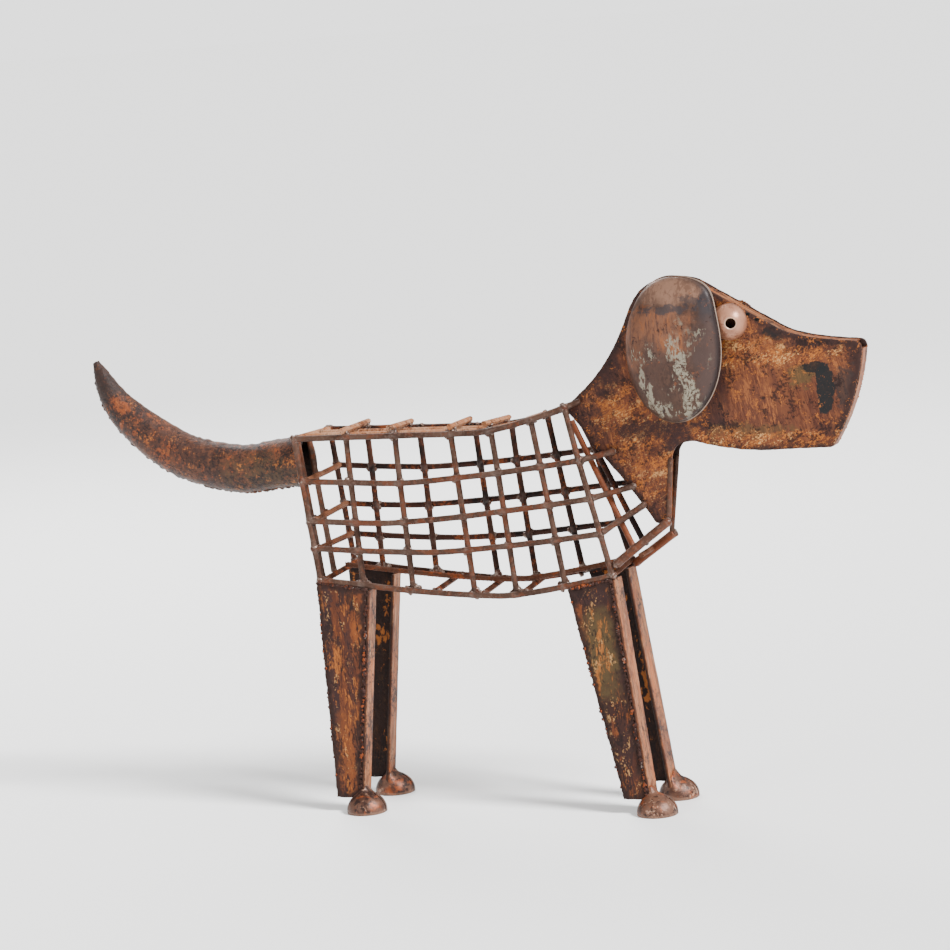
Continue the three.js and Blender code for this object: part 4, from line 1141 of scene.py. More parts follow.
for hand, side in SIDES.items():
    grille, places, sizes, joints = Shell(), [], [], []
    for upright in range(7):
        corner = upright in (0, 6)
        for rail, at in enumerate(upright_points(upright, side)):
            joint = at + (0, 0 if corner else side * 2.5, 0)
            joints.append(joint)
            more, size = joint_beads(joint, side, corner)
            places += more
            sizes += size
            if rail == 4 and not corner:
                more, size = foot_flare(at, side)
                places += more
                sizes += size
    for rail in range(5):
        rod_shell(grille, rail_path(rail, side), ROD, joints, side, seed=rail + 11)
    for upright in range(7):
        path = spline(upright_points(upright, side), ROD_STEP)
        rod_shell(grille, path, ROD, joints, side, seed=upright + 31)
    show(f"side_grille_{hand}", [grille.mesh(f"grille_{hand}", "rod"),
                                        beads(f"grille_{hand}", places, sizes, seed=3 + side)])
print("side grilles:", [len(PIECES[f"side_grille_{h}"].data.polygons) for h in SIDES], "faces")

# %% Rump: two uprights and the bars across


def rod_piece(name, ends, thick, joints, side, seed, knobs, sizes, knob_seed, step=ROD_STEP, swell=0.55,
              warm=None):
    """A straight rod as a finished piece, with the weld knobs at its ends."""
    rod = Shell()
    rod_shell(rod, even(ends, step), thick, joints, side, seed=seed, swell=swell)
    if warm is not None:
        rod.notes["warm"] = [np.full(rod.count, warm)]
    show(name, [rod.mesh(name, "rod"), beads(name, knobs, sizes, seed=knob_seed)])


def ribbed_piece(name, line, thick=RIBBED_BAR, lumps=None, size=2.4, seed=1):
    """A ribbed bar as a finished piece, with its weld lumps if it has any."""
    meshes = [ribbed_bar(name, even(line, ROD_STEP), thick)]
    if lumps is not None:
        meshes.append(beads(name, lumps, size, seed=seed))
    show(name, meshes)


def rump_point(rail, y, forward=0.0):
    right, left = crossing(0, rail, -1), crossing(0, rail, 1)
    share = (y - right[1]) / (left[1] - right[1])
    return np.array([right[0] + (left[0] - right[0]) * share + forward, y,
                     right[2] + (left[2] - right[2]) * share])


RUMP_SETBACK = 2.5
for name, y in (("outer", -30), ("middle", -3)):
    foot, head = rump_point(4, y, -RUMP_SETBACK), rump_point(0, y, -RUMP_SETBACK)
    head[2] -= RIBBED_BAR / 2 + GAP + 0.5
    marks = [rump_point(rail, y, 0.6) for rail in range(5)]
    lumps = [m + (rng.uniform(-1, 1), rng.choice((-2.6, 2.6)), rng.uniform(-2, 2)) for m in marks[1:]]
    rod_piece(f"rump_upright_{name}", [foot, head], ROD, marks, 0, 40 + abs(y), lumps, 2.2, 41)

SPAN = RUMP_HALF - ROD / 2 - 2 * GAP
FORWARD = ROD / 2 + RIBBED_BAR / 2 + 2 * GAP - RUMP_SETBACK
for rail in range(5):
    forward = FORWARD if rail else 0.0
    ends = [rump_point(rail, y, forward) for y in (-SPAN, SPAN)]
    lumps = [p + (-1.5, s * 1.0, rng.uniform(-1.8, 1.8)) for p, s in zip(ends, (1, -1))]
    ribbed_piece(f"rump_bar_{rail}", ends, RIBBED_BAR, lumps, 2.8, 50 + rail)
print("rump done:", len(PIECES), "pieces so far")

# %% Back, spine and belly bars
BACK_BARS = ((-123, -46, -129, 41, 6.8), (-79, -28, -77, 29, 6.8), (-11, -36, -16, 36, 6.8),
             (18, -16, 30, 24, 6.8), (66, -19, 71, 19, 1.0))
for index, (x, y, far_x, far_y, lift) in enumerate(BACK_BARS):
    near = np.array([x, y, rail_z(0, x, y) + lift])
    far = np.array([far_x, far_y, rail_z(0, far_x, far_y) + lift])
    line = even([near, far], ROD_STEP)
    lumps = [line[k] + (s * 2.2, 0, -2.4) for k, s in ((3, 1), (4, -1), (-4, 1), (-5, -1))]
    ribbed_piece(f"back_bar_{index + 1}", [near, far], RIBBED_BAR, lumps, 2.3, 60 + index)

SPINE = (("left", 13, None, 62, RIBBED_BAR), ("right_rear", -13, None, -77, RIBBED_BAR),
         ("right_middle", -13, -73, -24, THICK_BAR), ("right_front", -12, -19, 60, RIBBED_BAR))
for index, (name, y, start, end, thick) in enumerate(SPINE):
    start = rump_point(0, y)[0] + RIBBED_BAR / 2 + 2 * GAP if start is None else start
    line = []
    for x in np.linspace(start, end, 24):
        at = y * (1 - 0.55 * back_rise(x))
        line.append((x, at, rail_z(0, x, at) - (thick - ROD) / 2))
    ribbed_piece(f"spine_bar_{name}", line, thick)

for index, x in enumerate((-39, 10, 53)):
    reach = rail_y(4, x) - ROD / 2 - GAP
    ends = [np.array([x, y, rail_z(4, x, y) + 1]) for y in (-reach, reach)]
    lumps = [p + (dx, s * 0.6, 1.2) for p, s in zip(ends, (1, -1)) for dx in (-2.4, 2.4)]
    ribbed_piece(f"belly_bar_{index + 1}", ends, RIBBED_BAR, lumps, 2.4, 70 + index)
start, end = rump_point(4, 0, FORWARD + RIBBED_BAR)[0], crossing(6, 4, 1)[0] - RIBBED_BAR
line = [(x, 0, rail_z(4, x, 0) + 1 + RIBBED_BAR + 2 * GAP) for x in np.linspace(start, end, 24)]
ribbed_piece("belly_spine_bar", line)
print("bars done:", len(PIECES), "pieces so far")

# %% [markdown]
# ## Braces to the neck
# The front corners of the cage are tied to the neck by short rods, three thin and
# one thick on each side. Their free ends lap onto the neck plate and end in a
# round blob of weld, which shows in the photograph as a pale knob.

# %% Chest bar, braces and chest rods
ends = [crossing(6, 4, s) - (0, s * (ROD / 2 + GAP), 0) for s in (-1, 1)]
ribbed_piece("chest_bar", ends)

NECK_BRACES = ((1, 152, 360.3), (2, 170, 325.3), (3, 179, 307))
LOW_BRACES = {"right": (8, 203, -17.6, 290), "left": (-6, 199, 13, 273.5)}
CHEST_ROD = ((108.5, 12, 390.5), (165.5, 16.5, 263))
CHEST_CROSS = ((173, -19.5, 256.5), (173, 15, 256.5))
BRACE_STEP = 2.5
for hand, side in SIDES.items():
    for index, (rail, x, z) in enumerate(NECK_BRACES):
        start, end = crossing(6, rail, side), np.array([x, side * NECK_SIDE, z])
        along = (end - start) / np.linalg.norm(end - start)
        start = start + along * (ROD / 2 + GAP)
        knobs = [end - along * 0.6, end - along * 2.5 + (0, -side * 2.4, 1.2), start + along,
                 start + (0, 0, 2)]
        rod_piece(f"neck_brace_{index + 1}_{hand}", [start, end], ROD, [start, end], side, 80 + index, knobs,
                  [3.2, 2.2, 2.8, 2.0], 81 + index, step=BRACE_STEP)
    rise, x, y, z = LOW_BRACES[hand]
    start, end = crossing(6, 4, side) + (0, 0, rise), np.array([x, y, z])
    along = (end - start) / np.linalg.norm(end - start)
    start = start + along * (THICK_BAR / 2 + 2)
    knobs = [start - along, end - along * 1.5, end - along * 3 + (0, 0, 2.5)]
    rod_piece(f"low_brace_{hand}", [start, end], THICK_BAR, [start, end], 0, 90, knobs, [4.0, 3.6, 2.6], 91,
              step=BRACE_STEP, swell=0.3, warm=1.0 if side > 0 else 0.15)
    top, foot = (np.array([x, side * y, z]) for x, y, z in CHEST_ROD)
    rod_piece(f"chest_rod_{hand}", [top, foot], ROD, [foot], side, 95, [foot + (1, 0, 2), foot + (2, 1, -1)],
              2.4, 96, warm=1.0 if side < 0 else 0.0)
ribbed_piece("chest_cross_bar", CHEST_CROSS)
print("cage done:", len(PIECES), "pieces")

# %% [markdown]
# ## The head
# Two matching plates were cut by torch from sheet, stood on edge an inch
# apart and closed with flat bar bent along their outline. A torch leaves a
# slightly wavy edge and sheet is never quite flat, so each plate is built as a
# fine net of triangles inside its outline, which can carry both.

# %% A cut plate as a fine net


def quadratic(a, b, c, steps=14):
    t = np.linspace(0, 1, steps + 1)[:, None]
    a, b, c = (np.array(p, float) for p in (a, b, c))
    return (1 - t) ** 2 * a + 2 * t * (1 - t) * b + t**2 * c


def straight(a, b):
    return np.array([a, b], float)


def edge_normals(ring):
    along = np.roll(ring, -1, axis=0) - np.roll(ring, 1, axis=0)
    along /= np.linalg.norm(along, axis=1)[:, None]
    return np.stack([-along[:, 1], along[:, 0]], 1)


def is_inside(ring, spots):
    x, z = spots[:, 0], spots[:, 1]
    hit = np.zeros(len(spots), bool)
    for (x1, z1), (x2, z2) in zip(ring, np.roll(ring, -1, axis=0)):
        crosses = (z1 > z) != (z2 > z)
        with np.errstate(divide="ignore", invalid="ignore"):
            hit ^= crosses & (x < (x2 - x1) * (z - z1) / (z2 - z1) + x1)
    return hit


CUT_WANDER = 0.35


def plate_shell(outline, thickness, seed, side, rough_edge, dents=0.35, spacing=4.5, bevel=0.5):
    """A plate in the XZ plane, centred on y = 0. Notes how near each point is to the cut edge."""
    ring = even(np.vstack([outline, outline[:1]]), 2.2)[:-1]
    area = np.sum(ring[:, 0] * np.roll(ring[:, 1], -1) - np.roll(ring[:, 0], -1) * ring[:, 1])
    if area < 0:
        ring = ring[::-1]
    inward = edge_normals(ring)
    flat = np.column_stack([ring[:, 0], np.zeros(len(ring)), ring[:, 1]])
    amount = rough_edge(ring) * CUT_WANDER
    waves = 1 + 0.8 * wave(flat, 7, seed) + 0.9 * wave(flat, 3, seed + 1)
    ring = ring + inward * (amount * waves)[:, None]
    inner = ring + inward * bevel
    low, high = ring.min(0), ring.max(0)
    gx, gz = np.meshgrid(np.arange(low[0], high[0], spacing), np.arange(low[1], high[1], spacing))
    spots = np.column_stack([gx.ravel(), gz.ravel()])
    spots += np.random.default_rng(seed).uniform(-0.3, 0.3, spots.shape) * spacing
    far = np.array([np.min(np.hypot(*(ring - s).T)) for s in spots])
    spots = spots[is_inside(inner, spots) & (far > spacing * 0.55 + bevel)]
    flat_points = [Vector(p) for p in np.vstack([inner, spots])]
    made, _, triangles, origin, _, _ = delaunay_2d_cdt(flat_points, [], [list(range(len(inner)))], 1, 1e-6)
    net = np.array([tuple(p) for p in made])
    place = {source: i for i, sources in enumerate(origin) for source in sources}
    from_edge = np.array([np.min(np.hypot(*(ring - p).T)) for p in net])
    sheet = np.column_stack([net[:, 0], np.zeros(len(net)), net[:, 1]])
    lift = dents * wave(sheet, 45, seed + 2) + 0.10 * wave(sheet, 9, seed + 3)
    calm = np.clip(from_edge / 12, 0, 1)
    half = thickness / 2
    front, back = sheet.copy(), sheet.copy()
    front[:, 1] = -half + lift * calm
    back[:, 1] = half + lift * calm
    upper = np.column_stack([ring[:, 0], np.full(len(ring), -half + bevel), ring[:, 1]])
    lower = np.column_stack([ring[:, 0], np.full(len(ring), half - bevel), ring[:, 1]])
    n, m = len(net), len(ring)
    faces = [list(t) for t in triangles] + [[i + n for i in t[::-1]] for t in triangles]
    for i in range(m):
        j = (i + 1) % m
        a, b = place[i], place[j]
        faces += [[a, b, 2 * n + j, 2 * n + i], [2 * n + i, 2 * n + j, 2 * n + m + j, 2 * n + m + i],
                  [2 * n + m + i, 2 * n + m + j, n + b, n + a]]
    rim = np.concatenate([np.exp(-from_edge / 6)] * 2 + [np.ones(2 * m)])
    hidden = np.concatenate([np.full(n, side > 0), np.full(n, side < 0), np.zeros(2 * m)]).astype(float)
    return np.vstack([front, back, upper, lower]), faces, rim, hidden


NECK_TOE, LEFT_NECK_TOE = (203, 284), (199, 275)
HEAD_EDGES = {
    "nape": quadratic((99, 403.5), (148, 434), (171.8, 492)),
    "crown": quadratic((171.8, 492), (186, 527.8), (216, 527.8)),
    "brow": quadratic((216, 527.8), (233, 527.8), (244, 522.5)),
    "forehead": straight((244, 522.5), (325, 474.6)),
    "bridge": quadratic((325, 474.6), (345, 464), (398, 460.5)),
    "nose": quadratic((398, 460.5), (405, 459.5), (405, 452.5)),
    "muzzle": quadratic((405, 452.5), (398.5, 400.5), (370, 358)),
    "jaw": straight((370, 358), (300, 356.5)),
    "cheek": quadratic((300, 356.5), (262, 358.5), (234, 367)),
    "throat": quadratic((234, 367), (211, 368.5), (209.5, 350.5)),
    "neck_front": straight((209.5, 350.5), NECK_TOE),
    "neck_foot": straight(NECK_TOE, (188, 287.5)),
    "chest": quadratic((188, 287.5), (158, 333.5), (128, 365.5)),
    "shoulder": quadratic((128, 365.5), (117, 389), (99, 403.5)),
}


def head_line(*names):
    return np.vstack([HEAD_EDGES[n][(1 if k else 0):] for k, n in enumerate(names)])


PLATE, FLAT_BAR = 3.0, 3.0
HEAD_OUTLINE = head_line(*HEAD_EDGES)[:-1]


def rough_neck(ring):
    """The chest and nape edges were cut more roughly than the face."""
    return np.where((ring[:, 0] < 200) & (ring[:, 1] < 420), 1.9, 1.0)


def trimmed(line, from_start, from_end):
    fine = even(line, 0.5)
    return fine[int(from_start / 0.5): len(fine) - int(from_end / 0.5)]


ROLLED_EDGE = 5.0
for hand, side in SIDES.items():
    outline = HEAD_OUTLINE.copy()
    if side > 0:
        outline[np.all(outline == NECK_TOE, axis=1)] = LEFT_NECK_TOE
    points, faces, rim, inner = plate_shell(outline, PLATE, 5 + side, side, rough_neck)
    points[:, 1] += side * (HEAD_WIDTH / 2 - PLATE / 2)
    shell, rolled = Shell(), Shell()
    shell.add(points, faces, rim=rim, inside=inner)
    x, z = trimmed(straight((209.5, 350.5), LEFT_NECK_TOE if side > 0 else NECK_TOE), 0, 0.5).T
    edge = np.column_stack([x - ROLLED_EDGE / 2, np.full(len(x), side * (HEAD_WIDTH - PLATE) / 2), z])
    rod_shell(rolled, even(edge, 2.5), ROLLED_EDGE, seed=15)
    show(f"head_plate_{hand}", [shell.mesh(f"head_{hand}", "head"),
                                         rolled.mesh("rolled_edge", "rod")])
print("head plates:", len(PIECES["head_plate_right"].data.polygons), "faces each")

# %% Flat bar along an outline, with its seam of weld


STRAP_STEP, STRAP_BEVEL = 2.5, 0.45


def strap_shell(shell, line, outer, thickness, half_width, seed, columns=9):
    """Flat bar laid along a line in the XZ plane, its outer face the given depth inside the line."""
    line = even(line, STRAP_STEP)
    along = tangents(line)
    inward = np.stack([along[:, 1], -along[:, 0]], 1)
    flat = half_width - STRAP_BEVEL
    across = np.concatenate([[-half_width], np.linspace(-flat, flat, columns), [half_width]])
    depth = np.array([STRAP_BEVEL] + [0.0] * columns + [STRAP_BEVEL])
    loop = list(zip(across, depth)) + list(zip(across[::-1], thickness - depth[::-1]))
    grid = []
    for at, into in zip(line, inward):
        for y, d in loop:
            spot = at + into * (outer + d)
            grid.append((spot[0], y, spot[1]))
    grid = np.array(grid)
    shift = (0.22 * wave(grid, 22, seed) + 0.10 * wave(grid, 6, seed + 1))[:, None]
    out = np.repeat(inward, len(loop), axis=0)
    grid[:, 0] += (out[:, :1] * shift)[:, 0]
    grid[:, 2] += (out[:, 1:] * shift)[:, 0]
    sides = len(loop)
    faces = ring_faces(len(line), sides)
    faces += [list(range(sides)), list(range((len(line) - 1) * sides, len(line) * sides))]
    rim = np.tile([1.0] + [0.75] + [0.0] * (columns - 2) + [0.75] + [1.0]
                  + [1.0] + [0.4] * columns + [1.0], len(line))
    run = np.concatenate([[0], np.cumsum(np.linalg.norm(np.diff(line, axis=0), axis=1))]) + 100 * seed
    back = np.tile([0.0] * (columns + 2) + [1.0] * (columns + 2), len(line))
    shell.add(grid, faces, rim=rim, run=run.repeat(sides) * MM, across=grid[:, 1] * MM, inside=back)
    return line, inward


STRIP_WIDTH = HEAD_WIDTH - 2 * PLATE - 2 * GAP
STRIPS = {
    "nape": (trimmed(head_line("nape"), 6, 0.5), 1.2),
    "brow": (head_line("crown", "brow", "forehead", "bridge"), 1.2),
    "muzzle": (trimmed(head_line("muzzle"), 0.5, 1.0), -0.2),
    "jaw": (head_line("jaw", "cheek"), 1.2),
    "neck_front": (trimmed(head_line("neck_front"), 4.5, 4), 5.0),
}
for name, (line, inset) in STRIPS.items():
    strip = Shell()
    path, inward = strap_shell(strip, line, inset, FLAT_BAR, STRIP_WIDTH / 2, seed=len(name))
    seam, sizes = [], []
    for at, into in zip(path, inward):
        for side in (-1, 1):
            if rng.random() < 0.72:
                spot = at + into * (inset + 0.6 + rng.uniform(-0.3, 0.5))
                seam.append((spot[0], side * (STRIP_WIDTH / 2 - rng.uniform(-0.2, 0.8)), spot[1]))
                sizes.append(rng.uniform(0.7, 1.2))
    show(f"{name}_strip", [strip.mesh(f"{name}_strip", "bar"),
                                  beads(f"{name}_seam", seam, sizes, "bar", seed=len(name))])
print("head done:", len(PIECES), "pieces so far")

# %% [markdown]
# ## Ears and eyes
# Each ear is an oval dish pressed from thin sheet, its hollow side to the head.
# It is laid out as rings round a centre, so the press-formed dome stays smooth,
# while a few shallow knocks keep it from looking turned on a lathe. The cut edge
# gets a narrow lip, because it catches the light in the photograph. Three tack
# welds at its rear edge bridge the slit to the head plate and carry it.

# %% Ears
EAR_HALF_WIDTH, EAR_HALF_HEIGHT, EAR_DEPTH, EAR_WALL, EAR_SHOULDER = 50.5, 70.6, 19.0, 2.4, 0.75
EAR_FLARE, EAR_LEAN, EAR_SWING = (math.radians(a) for a in (1.5, 2, 9.5))
EAR_X, EAR_Z, EAR_STANDOFF, EAR_RING_STEP = 222.5, 459.7, 2, 0.0375
LEFT_EAR_BACK, LEFT_EAR_DROP = 4, 13
DOME = ((1, 0), (0.985, 0.26), (0.93, 0.45), (0.8, 0.69), (0.58, 0.88), (0.3, 0.975), (0, 1))


def ear_matrix(side):
    outward = EAR_FLARE if side > 0 else math.pi - EAR_FLARE
    reach = math.sin(EAR_SWING) * EAR_HALF_WIDTH + math.sin(EAR_FLARE) * EAR_HALF_HEIGHT
    back, drop = (LEFT_EAR_BACK, LEFT_EAR_DROP) if side > 0 else (0, 0)
    move = Matrix.Translation((EAR_X - back, side * (HEAD_WIDTH / 2 + EAR_STANDOFF + reach), EAR_Z - drop))
    return (move @ Matrix.Rotation(side * EAR_SWING, 4, "Z") @ Matrix.Rotation(EAR_LEAN, 4, "Y")
            @ Matrix.Rotation(outward, 4, "X"))


def placed(points, matrix):
    m = np.array(matrix)
    return np.asarray(points) @ m[:3, :3].T + m[:3, 3]


def ear_profile(grow):
    rings = even(spline(DOME, 0.02), EAR_RING_STEP)
    return np.column_stack([np.clip(rings[:, 0], 0, 1) * (EAR_HALF_WIDTH + grow),
                            rings[:, 1] * (EAR_DEPTH + grow)])


def ear_shell(side, sides=112):
    outside, inside = ear_profile(0), ear_profile(-EAR_WALL)[::-1]
    inside[-1, 1] = 0.4
    lip = np.array([(EAR_HALF_WIDTH + past, height) for past, height in
                    ((-EAR_WALL, 0.0), (0.5, -0.1), (0.8, 0.7), (0.35, 1.5))])
    profile = np.vstack([inside[1:], lip, outside[2:-1]])
    turn = np.arange(sides) * 2 * math.pi / sides
    r, h = np.repeat(profile[:, 0], sides), np.repeat(profile[:, 1], sides)
    angle = np.tile(turn, len(profile))
    points = np.column_stack([r * np.sin(angle), h, r * np.cos(angle)])
    knocks = 0.55 * wave(points, 38, 3 + side) + 0.18 * wave(points, 12, 8 + side)
    points[:, 1] += knocks * np.clip(h / 6, 0, 1)
    count = len(profile)
    points = np.vstack([points, (0, EAR_DEPTH - EAR_WALL, 0), (0, EAR_DEPTH, 0)])
    front_top = 1 if side > 0 else -1
    high = points[:, 2] * front_top / EAR_HALF_WIDTH
    fuller = np.where((points[:, 0] > 0) & (high > 0), 1 + EAR_SHOULDER * np.clip(high, 0, 1.05) ** 4, 1)
    points[:, 0] *= fuller
    points[:, 2] *= EAR_HALF_HEIGHT / EAR_HALF_WIDTH
    faces = ring_faces(count, sides) + end_fans(count, sides)
    inner = len(inside) - 1
    order = np.repeat(np.arange(count), sides)
    # Notes for the finish: painted shade on the steep front wall (rim) and a painted highlight on the cut
    # lip, both strongest at the front.
    forward = np.clip(points[:-2, 0] / EAR_HALF_WIDTH * 1.6, 0, 1)
    steep = np.clip((r / EAR_HALF_WIDTH - 0.93) / 0.05, 0, 1)
    rim = steep * (0.08 + 0.92 * forward) * (order >= inner + 4)
    lip_highlight = ((order >= inner) & (order < inner + 4)) * (0.08 + 0.92 * forward)
    hollow = (order < inner).astype(float)
    shell = Shell()
    shell.add(placed(points, ear_matrix(side)), faces, rim=np.append(rim, (0, 0)),
              lip=np.append(lip_highlight, (0, 0)), inside=np.append(hollow, (1, 0)))
    return shell


def ear_tacks(shell, side):
    """Tack welds that bridge the slit between the ear's rear edge and the head plate."""
    rim = np.vstack(shell.points)
    near = rim[np.abs(rim[:, 1]) < np.abs(rim[:, 1]).min() + 0.8]
    places, sizes = [], []
    for share in (0.15, 0.5, 0.85):
        z = near[:, 2].min() + (near[:, 2].max() - near[:, 2].min()) * share
        at = near[np.abs(near[:, 2] - z).argmin()]
        for y, size in ((HEAD_WIDTH / 2 + 0.6, 2.6), (HEAD_WIDTH / 2 + 2.4, 2.2), (abs(at[1]) + 0.3, 2.3)):
            places.append((at[0] + 1.6, side * y, at[2]))
            sizes.append(size)
    return places, np.array(sizes)


for hand, side in SIDES.items():
    shell = ear_shell(side)
    tacks, sizes = ear_tacks(shell, side)
    show(f"ear_{hand}", [shell.mesh(f"ear_{hand}", "ear"),
                                beads(f"ear_tacks_{hand}", tacks, sizes, "crust", seed=31)])
    print("tack welds at", [tuple(round(float(c), 1) for c in t) for t in tacks[::3]])
print("ears:", len(PIECES["ear_right"].data.polygons), "faces each")

# %% Eyes: half balls round a drilled pupil
EYE_RADIUS, EYE_WALL, EYE_HOLE = 18.0, 2.5, 10.0
EYE_X, EYE_Z, EYE_TURN = 276.5, 483.0, 19.0


def eye_shell(side, sides=72, rings=26):
    normal = np.array([0.0, side, 0.0])
    turn = math.radians(EYE_TURN)
    aim = np.array([math.sin(turn), side * math.cos(turn), 0.0])
    first = np.array([0.0, 0.0, 1.0])
    second = np.cross(aim, first)
    rows, lip, inner = [], [], []
    hole = EYE_HOLE / 2
    layers = [(EYE_RADIUS, t, 0.0, 0.0) for t in np.linspace(1, 0, rings)]
    # The edge of the hole carries a painted highlight (lip), and the wall of the hole is noted for painted
    # shade (inside).
    layers += [(EYE_RADIUS - 0.5, 0, 1.0, 0.2), (EYE_RADIUS - 1.2, 0, 0.7, 0.8)]
    layers += [(EYE_RADIUS - EYE_WALL, t, 0.0, 1.0) for t in np.linspace(0, 1, 10)]
    for radius, share, bright, hollow in layers:
        for k in range(sides):
            phi = 2 * math.pi * k / sides
            spoke = math.cos(phi) * first + math.sin(phi) * second
            start = math.asin((hole + (0.5 if radius == EYE_RADIUS else 0)) / radius)
            stop = math.atan2(aim @ normal, -(spoke @ normal))
            theta = start + (stop - start) * share
            rows.append(radius * (math.cos(theta) * aim + math.sin(theta) * spoke))
            lip.append(max(bright, 1.0 if radius == EYE_RADIUS and share < 0.035 else 0.0))
            inner.append(hollow)
    points = np.array(rows) + (EYE_X, side * (HEAD_WIDTH / 2 + GAP), EYE_Z)
    points += 0.18 * wave(points, 12, 4)[:, None] * normal
    count = len(layers)
    faces = ring_faces(count, sides)
    faces += [[(count - 1) * sides + k, (count - 1) * sides + (k + 1) % sides, (k + 1) % sides, k]
              for k in range(sides)]
    # rim: painted contact shadow on the ball where it meets the plate.
    low = np.clip(1 - (points[:, 1] * side - HEAD_WIDTH / 2) / 5.5, 0, 1)
    shell = Shell()
    shell.add(points, faces, lip=np.array(lip), inside=np.array(inner), rim=low)
    return shell


for hand, side in SIDES.items():
    weld_ring = [(EYE_X + EYE_RADIUS * math.cos(a), side * (HEAD_WIDTH / 2 - 0.2),
                  EYE_Z + EYE_RADIUS * math.sin(a)) for a in np.linspace(-2.2, 1.2, 22)]
    show(f"eye_{hand}", [eye_shell(side).mesh(f"eye_{hand}", "eye"),
                                beads(f"eye_{hand}", weld_ring, 1.1, "head", seed=7)])
print("eyes:", len(PIECES["eye_right"].data.polygons), "faces each")

# %% [markdown]
# ## The tail
# The tail is sheet rolled to a tapering tube and bent like a horn. A ridge runs
# along its top where the sheet was folded, and a coarse seam of weld closes it
# underneath, with teeth that show against the light. Rings along a curved centre
# line give the roll, and the ridge and teeth are moves of the same points.

# %% Horn with ridge and seam
TAIL_LINE = ((-180.5, 356.5), (-210, 354), (-257, 349.5), (-310, 361), (-345, 379.5), (-378, 406.5),
             (-397, 431), (-411.5, 464.5))
TAIL_MOUTH, TAIL_TIP, TAIL_WIDTH, TAIL_WALL, TAIL_HOLLOW = 50.0, 6.5, 0.8, 2.5, 0.86


def horn_radius(share):
    body, tip = TAIL_MOUTH / 2 * (1 - 0.13 * share), TAIL_TIP / 2
    return tip + (body - tip) * (1 - share**5.5)


def horn_shell(sides=56):
    path = spline([(x, 0, z) for x, z in TAIL_LINE], 1.8)
    run = np.linspace(0, 1, len(path))
    along = tangents(path)
    rows, ridge, seam, hollow = [], [], [], []
    deep = [k for k in range(len(path)) if run[k] <= TAIL_HOLLOW]
    order = [(k, TAIL_WALL, 1.0) for k in deep[::-2]] + [(0, TAIL_WALL, 0.8)]
    order += [(k, 0.0, 0.0) for k in range(len(path))]
    for k, wall, inner in order:
        upward = np.array([-along[k][2], 0, along[k][0]]) * -1
        radius = max(1.0, horn_radius(run[k]) - wall)
        for s in range(sides):
            angle = 2 * math.pi * s / sides
            up, out = math.cos(angle), math.sin(angle)
            spot = path[k] + upward * up * radius + np.array([0, 1, 0]) * out * radius * TAIL_WIDTH
            rows.append(spot)
            ridge.append(math.exp(-(abs(math.atan2(out, up)) / 0.13) ** 2) * (1 - inner))
            seam.append(math.exp(-(abs(math.atan2(out, -up)) / 0.22) ** 2) * (1 - inner))
            hollow.append(inner)
    rows, ridge, seam = np.array(rows), np.array(ridge), np.array(seam)
    outer = 1 - np.array(hollow)
    centre = np.repeat([path[k] for k, _, _ in order], sides, axis=0)
    away = rows - centre
    away /= np.linalg.norm(away, axis=1)[:, None] + 1e-9
    push = outer * (0.7 * wave(rows, 30, 2) + 0.35 * wave(rows, 9, 3))
    push += ridge * (0.8 + 1.0 * wave(rows, 5, 4))
    push += seam * (-0.5 + 1.5 * np.abs(wave(rows, 3.4, 5)) * 2)
    rows += away * np.clip(push, -1.8, 1.9)[:, None]
    count = len(order)
    faces = ring_faces(count, sides) + end_fans(count, sides)
    rows = np.vstack([rows, path[deep[-1]], path[-1] + along[-1] * 0.8])
    shell = Shell()
    shell.add(rows, faces, ridge=np.append(ridge, (0, 0)), seam=np.append(seam, (0, 0)),
              inside=np.append(hollow, (1, 0)))
    return shell, path, along, run


horn, path, along, run = horn_shell()
teeth, sizes = [], []
for k in range(2, len(path) - 6):
    down = np.array([-along[k][2], 0, along[k][0]])
    if rng.random() < 0.8:
        teeth.append(path[k] + down * (horn_radius(run[k]) - 0.3) + (0, rng.uniform(-1.6, 1.6), 0))
        sizes.append(rng.uniform(1.3, 2.5))
show("tail_horn", [horn.mesh("horn", "horn"), beads("tail_seam", teeth, sizes, "horn", seed=9)])
print("tail:", len(PIECES["tail_horn"].data.polygons), "faces")

# %% [markdown]
# ## Legs and feet
# A leg is a tapered plate with a flat bar welded across its front edge, so it
# looks like an angle iron that narrows to the ankle. The feet are solid domes
# with one saw cut at the toe. The bar runs down onto the dome and ends in a
# flare of weld, which is modelled, since it changes the outline of the ankle.

# %% Legs
ANKLE_Z, FOOT_RADIUS, FOOT_HEIGHT, FOOT_LIP = 14.7, 20.5, 20.0, 2.0
LEGS = (
    ("hind", dict(top_rear=-165.5, top_front=-107, foot_rear=-162, foot_front=-132, hip_y=43, ankle_y=43,
                  bar=20, foot_x=-130.5, foot_y=41.5), dict(foot_x=-132)),
    ("fore", dict(top_rear=99, top_front=148, foot_rear=143.5, foot_front=171.5, hip_y=35, ankle_y=38,
                  bar=26, foot_x=176.5, foot_y=35), dict(foot_rear=148.5, foot_front=176.5, foot_x=178)),
)


def bottom_rail(x, side):
    return rail_z(4, x, side * rail_y(4, x))


def front_edge(leg, z, side):
    share = (z - ANKLE_Z) / (bottom_rail(leg["top_front"], side) - ANKLE_Z)
    return leg["foot_front"] + (leg["top_front"] - leg["foot_front"]) * share


def leg_placement(leg, side):
    middle = (leg["top_rear"] + leg["top_front"]) / 2
    hip_z = rail_z(4, middle, -rail_y(4, middle))
    splay = math.atan2(leg["ankle_y"] - leg["hip_y"], hip_z)
    move = Matrix.Translation((0, side * leg["hip_y"], hip_z)) @ Matrix.Rotation(side * splay, 4, "X")
    return move @ Matrix.Translation((0, 0, -hip_z))


